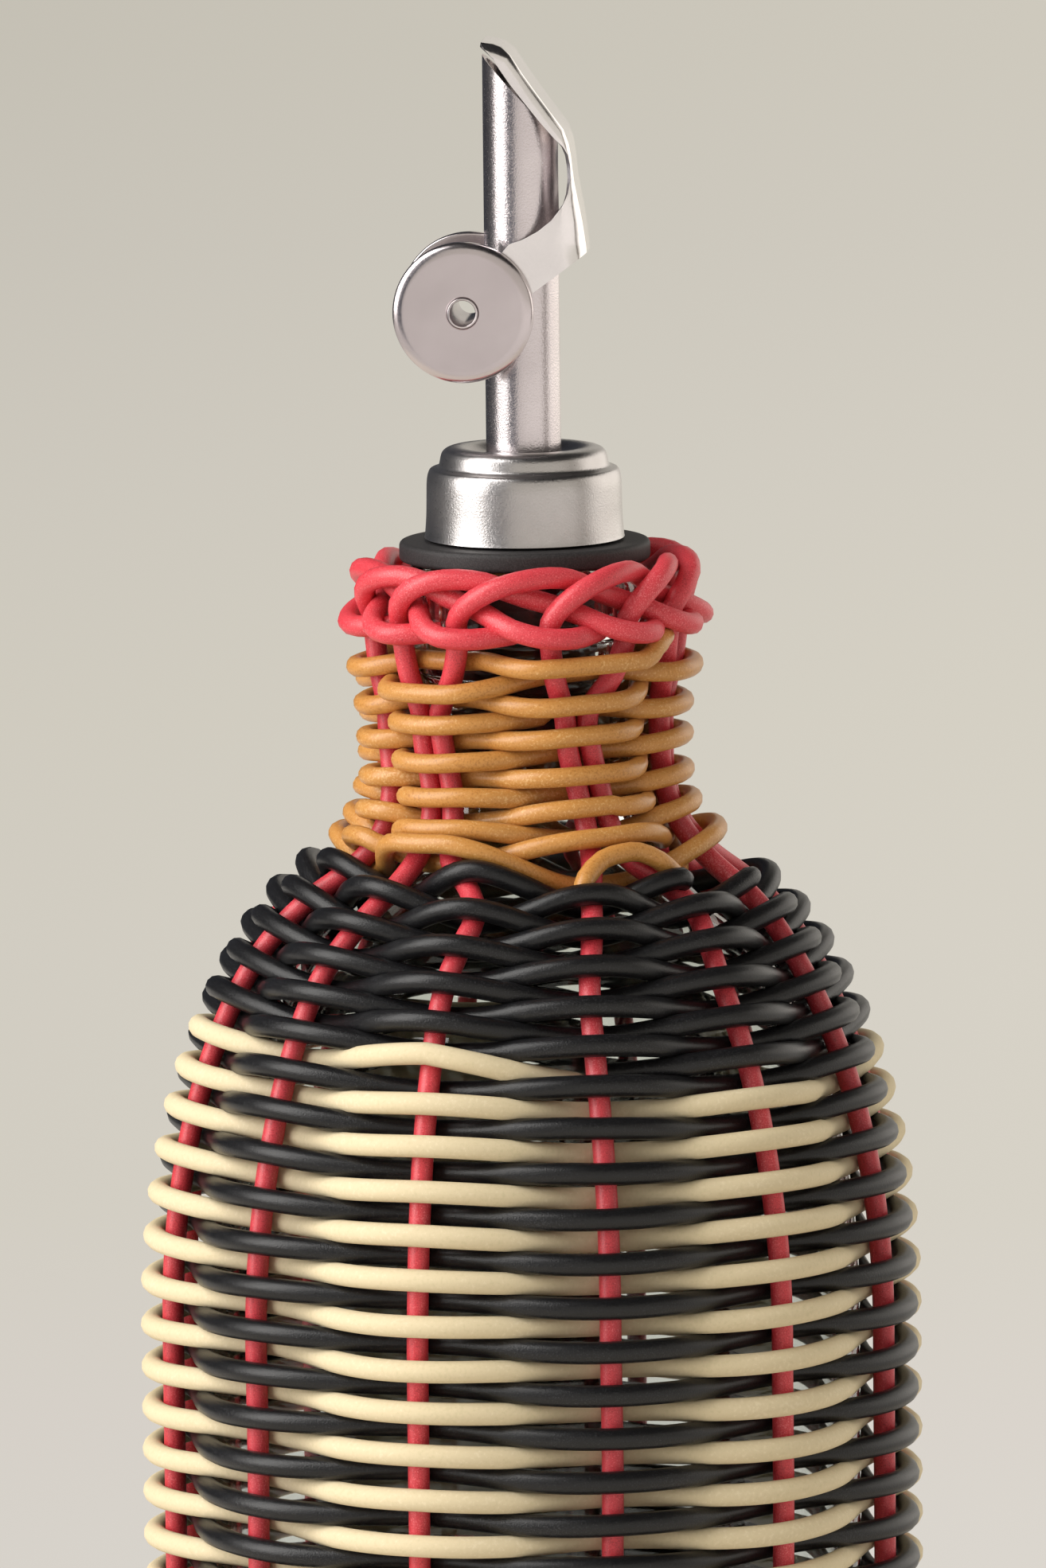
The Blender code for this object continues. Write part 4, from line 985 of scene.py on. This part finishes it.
for strand, name in enumerate(("foot_strand_a", "foot_strand_b")):
    route = []
    for step in range(TWISTS * TWIST_STEPS + 1):
        turn = 2 * math.pi * step / (TWISTS * TWIST_STEPS)
        twist = TWISTS * turn + math.pi * strand
        radius = FOOT_CIRCLE + FOOT_CORD_RADIUS * math.cos(twist)
        route.append(around(radius, turn, FOOT_MIDDLE + FOOT_RISE * math.sin(twist)))
    cord(name, route, FOOT_CORD_RADIUS, black_plastic, "black_cord", "foot_ring")

# %% [markdown]
# ## The stopper
#
# The stopper is one rubber moulding: ribs that grip the neck, a flange that lies on the lip and a boss
# that fills the cap. Its parts could be joined from cylinders. One spun profile is simpler, and its
# corners can be soft, because rubber comes out of the mould with small radii.

# %% Rubber stopper
PLUG_FOOT = 178.3 * MM
PLUG_RADIUS = 7.4 * MM
RIB_RADIUS = 8.6 * MM
RIB_TOPS = (184.9 * MM, 190.1 * MM, 195.3 * MM)
RIB_HEIGHT = 1.6 * MM
RIB_EDGE = 0.2 * MM
FLANGE_FOOT = 198.3 * MM
FLANGE_TOP = 200.4 * MM
FLANGE_RADIUS = 13.4 * MM
BOSS_RADIUS = 7.9 * MM
BOSS_TOP = 206.6 * MM
BORE = 4.3 * MM

profile = [(BORE, PLUG_FOOT), (PLUG_RADIUS, PLUG_FOOT, 0.8 * MM)]
for rib in RIB_TOPS:
    profile += [(PLUG_RADIUS, rib - RIB_HEIGHT), (RIB_RADIUS, rib - RIB_EDGE, RIB_EDGE),
                (RIB_RADIUS, rib, RIB_EDGE), (PLUG_RADIUS, rib)]
profile += [(PLUG_RADIUS, FLANGE_FOOT), (FLANGE_RADIUS, FLANGE_FOOT, 0.5 * MM),
            (FLANGE_RADIUS, FLANGE_TOP, 0.6 * MM), (BOSS_RADIUS, FLANGE_TOP), (BOSS_RADIUS, BOSS_TOP),
            (BORE, BOSS_TOP)]
stopper = turned("stopper", rounded(profile), moulded_rubber, "pourer", "rubber_stopper")

# %% [markdown]
# ## The cap
#
# The cap is pressed from sheet steel in two steps. Pressing leaves no sharp corner: the foot flares a
# little, the lower step rolls over into a shallow groove, and the upper step is a flat dome whose
# middle dips towards the tube. A solid would look the same from outside, but its foot would be closed.
# It is a shell, so its profile goes up outside and comes back inside.

# %% Steel cap
profile = in_metres((
    (10.68, 200.7), (10.62, 201.0, 0.2), (10.46, 203.0, 1.2), (10.38, 208.0, 1.9), (9.3, 208.25, 0.35),
    (9.05, 208.5, 0.3), (8.7, 210.3, 2.0), (6.3, 210.5, 2.2), (4.8, 209.6, 1.0), (BORE / MM, 209.5),
    (BORE / MM, 208.9), (5.0, 209.0, 0.4), (6.2, 209.7, 1.0), (8.1, 209.5, 1.2), (8.4, 207.6, 0.4),
    (9.7, 207.3, 1.2), (9.8, 200.7),
))
cap = turned("cap", rounded(profile, steps=8), pressed_steel, "pourer", "pourer_cap")

# %% [markdown]
# ## The spout tube
#
# The spout is a drawn tube that was sawn off on a slant. It is spun as a straight tube and then cut by
# one slanting plane, which is what the saw does. The open cut is closed again by bridging the inner
# and the outer edge. A thin air tube stands inside, so that air can get in while oil runs out.

# %% Spout tube and air tube
TUBE_RADIUS = 4.0 * MM
TUBE_BORE = 3.6 * MM
TUBE_TIP = 252.3 * MM
SAW_ALLOWANCE = 2 * MM
MOUTH_SLANT = math.radians(47)
AIR_RADIUS = 1.0 * MM
AIR_BORE = 0.6 * MM
AIR_TOP = 238.3 * MM
AIR_ASIDE = 2.3 * MM

uncut = TUBE_TIP + SAW_ALLOWANCE
shape = spun([(TUBE_RADIUS, uncut), (TUBE_RADIUS, PLUG_FOOT), (TUBE_BORE, PLUG_FOOT), (TUBE_BORE, uncut)],
             closed=False)
bmesh.ops.remove_doubles(shape, verts=shape.verts, dist=MERGE_DISTANCE)
saw = Vector((math.sin(MOUTH_SLANT), 0, math.cos(MOUTH_SLANT)))
cut = bmesh.ops.bisect_plane(shape, geom=shape.verts[:] + shape.edges[:] + shape.faces[:],
                             plane_co=(-TUBE_RADIUS, 0, TUBE_TIP), plane_no=saw, clear_outer=True)
rim = [item for item in cut["geom_cut"] if isinstance(item, bmesh.types.BMEdge)]
bmesh.ops.bridge_loops(shape, edges=rim)
tube = add_piece("spout", shape, tumbled_steel, "pourer")
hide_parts("spout_tube")
print("spout", len(tube.data.polygons), "faces")

air_profile = [(AIR_RADIUS, PLUG_FOOT), (AIR_RADIUS, AIR_TOP), (AIR_BORE, AIR_TOP), (AIR_BORE, PLUG_FOOT)]
air = turned("air_pipe", air_profile, tumbled_steel, "pourer", "air_tube",
             Matrix.Translation((AIR_ASIDE, 0, 0)), steps=32)

# %% [markdown]
# ## The pivot pins
#
# Two short pins stick out of the tube's sides, and the flap turns on them. A ready-made cylinder could
# be laid at each side. A spun profile does the same with the helper that is there, so one loop spins both.

# %% Pivot pins
PIVOT = 227.9 * MM
PIN_RADIUS = 0.8 * MM
PIN_HALF = 0.55 * MM
PIN_MIDDLE = 4.2 * MM

profile = [(0, -PIN_HALF), (PIN_RADIUS, -PIN_HALF), (PIN_RADIUS, PIN_HALF), (0, PIN_HALF)]
for name, side, node in (("pin_near", -1, "pivot_pin_near"), ("pin_far", 1, "pivot_pin_far")):
    pin = turned(name, profile, tumbled_steel, "pourer", node, across(0, side * PIN_MIDDLE, PIVOT),
                 steps=32, closed=False)

# %% [markdown]
# ## The flap
#
# The flap is one piece of thin sheet, folded into a channel that wraps the back of the tube. Its front
# edges are cut in a long S, and its upper end lies over the slanted mouth. It could be cut out of a
# block, but folded sheet has an even thickness and soft folds that widen downwards. So it is built as
# the press makes it: section by section, each one an open U from the near front edge, round the near
# fold, over the back and round the far fold to the far edge. Each section is extruded into the next.

# %% Sections of the flap
CHEEK = 4.9 * MM
FOLD_STEPS = 6
FLAT_SHARE = 0.8
# For each section, in millimetres: its front edge (x, z), its fold (x, z) and the fold's rounding.
FLAP_SECTIONS = (
    ((-3.62, 253.45), (-3.82, 253.92), 0.9), ((-3.10, 252.85), (-2.55, 253.72), 1.4),
    ((-2.55, 252.20), (-1.70, 253.42), 1.2), ((-1.85, 251.10), (-0.75, 252.60), 0.9),
    ((-0.80, 249.55), (0.50, 250.65), 0.8), ((0.35, 248.05), (1.65, 249.00), 0.9),
    ((2.35, 245.50), (3.50, 246.45), 0.9), ((3.95, 243.65), (4.85, 244.65), 0.9),
    ((4.85, 242.80), (5.40, 243.10), 1.0), ((5.32, 241.90), (5.62, 241.80), 1.2),
    ((5.55, 240.75), (5.74, 240.65), 1.3), ((5.60, 239.40), (5.90, 239.20), 1.4),
    ((5.30, 237.85), (6.20, 237.55), 1.6), ((4.72, 236.50), (6.50, 236.10), 1.8),
    ((3.50, 234.95), (6.75, 234.65), 2.1), ((2.05, 233.80), (6.92, 233.45), 2.4),
    ((0.45, 232.95), (7.02, 232.60), 2.6), ((-1.00, 232.45), (7.08, 232.15), 2.6),
    ((0.10, 229.70), (7.12, 231.75), 2.6), ((1.40, 227.20), (7.16, 231.40), 2.6),
)


def flap_section(front, fold, rounding):
    """Places along one U from the near front edge to the far one."""
    start, corner, rounding = Vector(front) * MM, Vector(fold) * MM, rounding * MM
    reach = (corner - start).length
    ahead = (corner - start) / reach
    first = math.asin(max(0.0, rounding - reach) / rounding)
    bend_foot = max(0.0, reach - rounding)
    first_side = CHEEK - rounding * (1 - math.cos(first))
    steps = [(0.0, first_side), (bend_foot * FLAT_SHARE, first_side)]
    for step in range(FOLD_STEPS + 1):
        turn = first + (math.pi / 2 - first) * step / FOLD_STEPS
        steps.append((reach - rounding * (1 - math.sin(turn)), CHEEK - rounding * (1 - math.cos(turn))))
    near = [Vector((start.x + ahead.x * far, -side, start.y + ahead.y * far)) for far, side in steps]
    return near + [Vector((place.x, -place.y, place.z)) for place in reversed(near)]


def extended(shape, chain, places):
    """Extrude a chain of vertices to new places, and give back the new chain."""
    edges = [shape.edges.get(pair) for pair in zip(chain, chain[1:])]
    grown = bmesh.ops.extrude_edge_only(shape, edges=edges)
    fresh = {item for item in grown["geom"] if isinstance(item, bmesh.types.BMVert)}
    after = []
    for vert, place in zip(chain, places):
        partner = next(edge.other_vert(vert) for edge in vert.link_edges if edge.other_vert(vert) in fresh)
        partner.co = place
        after.append(partner)
    return after


flap_places = [flap_section(*section) for section in FLAP_SECTIONS]
print("flap:", len(flap_places), "sections of", len(flap_places[0]), "places")

# %% Flap lever
SHEET = 0.45 * MM
EDGE_BREAK = 0.06 * MM
RIVET_X = -5.9 * MM
RIVET_Z = PIVOT - 2.6 * MM
EYE_RADIUS = 2.8 * MM
EYE_HOLE = 1.68 * MM
EYE_START_DEGREES = -70
EYE_SWEEP_DEGREES = 230
EYE_STEPS = 14
ARM_SECTIONS = 3
ARM_FOOT = (-1.6 * MM, 224.4 * MM)
ARM_TOP = (-2.9 * MM, 230.3 * MM)

shape = bmesh.new()
chain = [shape.verts.new(place) for place in flap_places[0]]
for pair in zip(chain, chain[1:]):
    shape.edges.new(pair)
chains = [chain]
for places in flap_places[1:]:
    chains.append(extended(shape, chains[-1], places))

eye = []
for step in range(EYE_STEPS + 1):
    turn = math.radians(EYE_START_DEGREES - EYE_SWEEP_DEGREES * step / EYE_STEPS)
    eye.append((RIVET_X + EYE_RADIUS * math.cos(turn), RIVET_Z + EYE_RADIUS * math.sin(turn)))
for side, end in ((-1, 0), (1, -1)):
    outline = [chain[end] for chain in chains[-ARM_SECTIONS:]]
    outline += [shape.verts.new((x, side * CHEEK, z)) for x, z in (ARM_FOOT, *eye, ARM_TOP)]
    pairs = zip(outline, outline[1:] + outline[:1])
    edges = [shape.edges.get(pair) or shape.edges.new(pair) for pair in pairs]
    hole = bmesh.ops.create_circle(shape, segments=24, radius=EYE_HOLE,
                                   matrix=across(RIVET_X, side * CHEEK, RIVET_Z))
    edges += {edge for vert in hole["verts"] for edge in vert.link_edges}
    bmesh.ops.triangle_fill(shape, edges=edges, use_beauty=True)

flap = add_piece("flap", shape, sheet_steel, "lever", smooth_angle=40)
flap.data.materials.append(shaded_cut_edge_steel)
if sum(face.normal.x * face.area for face in flap.data.polygons) < 0:
    flap.data.flip_normals()
thick = flap.modifiers.new("sheet", "SOLIDIFY")
thick.thickness = SHEET
thick.offset = -1
# The rim of the thick sheet takes the second material, the cut edge that is painted dark as shade.
thick.material_offset_rim = 1
edge_break = flap.modifiers.new("broken edges", "BEVEL")
edge_break.width = EDGE_BREAK
edge_break.segments = 2
edge_break.limit_method = "ANGLE"
edge_break.angle_limit = math.radians(60)
flap.modifiers.new("even shading", "WEIGHTED_NORMAL")
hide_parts("flap_lever")
print("flap", len(flap.data.polygons), "faces before it is made thick")

# %% [markdown]
# ## Weights and rivet
#
# Two thick discs hang on the arms of the flap. They were turned from bar, with a small chamfer, and a
# hollow rivet holds them together. The rivet's rolled lips show as bright rings in the middle. All
# three could be cylinders with a bevel, but a profile gives each edge the rounding it has, so they are
# spun too. The disc's chamfer is on its outer side only, so the near disc is turned round.

# %% Weights and rivet
DISC_MIDDLE = 5.8 * MM

disc_profile = rounded(in_metres((
    (1.68, -0.7), (1.78, -0.8), (7.5, -0.8, 0.3), (7.5, 0.30, 0.2), (7.25, 0.54, 0.2), (6.95, 0.69, 0.2),
    (6.5, 0.8, 0.3), (1.78, 0.8), (1.68, 0.7))), steps=6)
for name, side, node in (("weight_near", -1, "weight_disc_near"), ("weight_far", 1, "weight_disc_far")):
    place = across(RIVET_X, side * DISC_MIDDLE, RIVET_Z)
    if side < 0:
        place = place @ Matrix.Rotation(math.pi, 4, "X")
    disc = turned(name, disc_profile, turned_steel, "lever", node, place)

rivet_profile = rounded(in_metres((
    (1.36, -6.55), (1.42, -6.68, 0.06), (1.62, -6.64, 0.06), (1.62, -6.4), (1.62, 6.4), (1.62, 6.64, 0.06),
    (1.42, 6.68, 0.06), (1.36, 6.55))))
rivet = turned("rivet", rivet_profile, tumbled_steel, "lever", "hollow_rivet",
               across(RIVET_X, 0, RIVET_Z), steps=48)
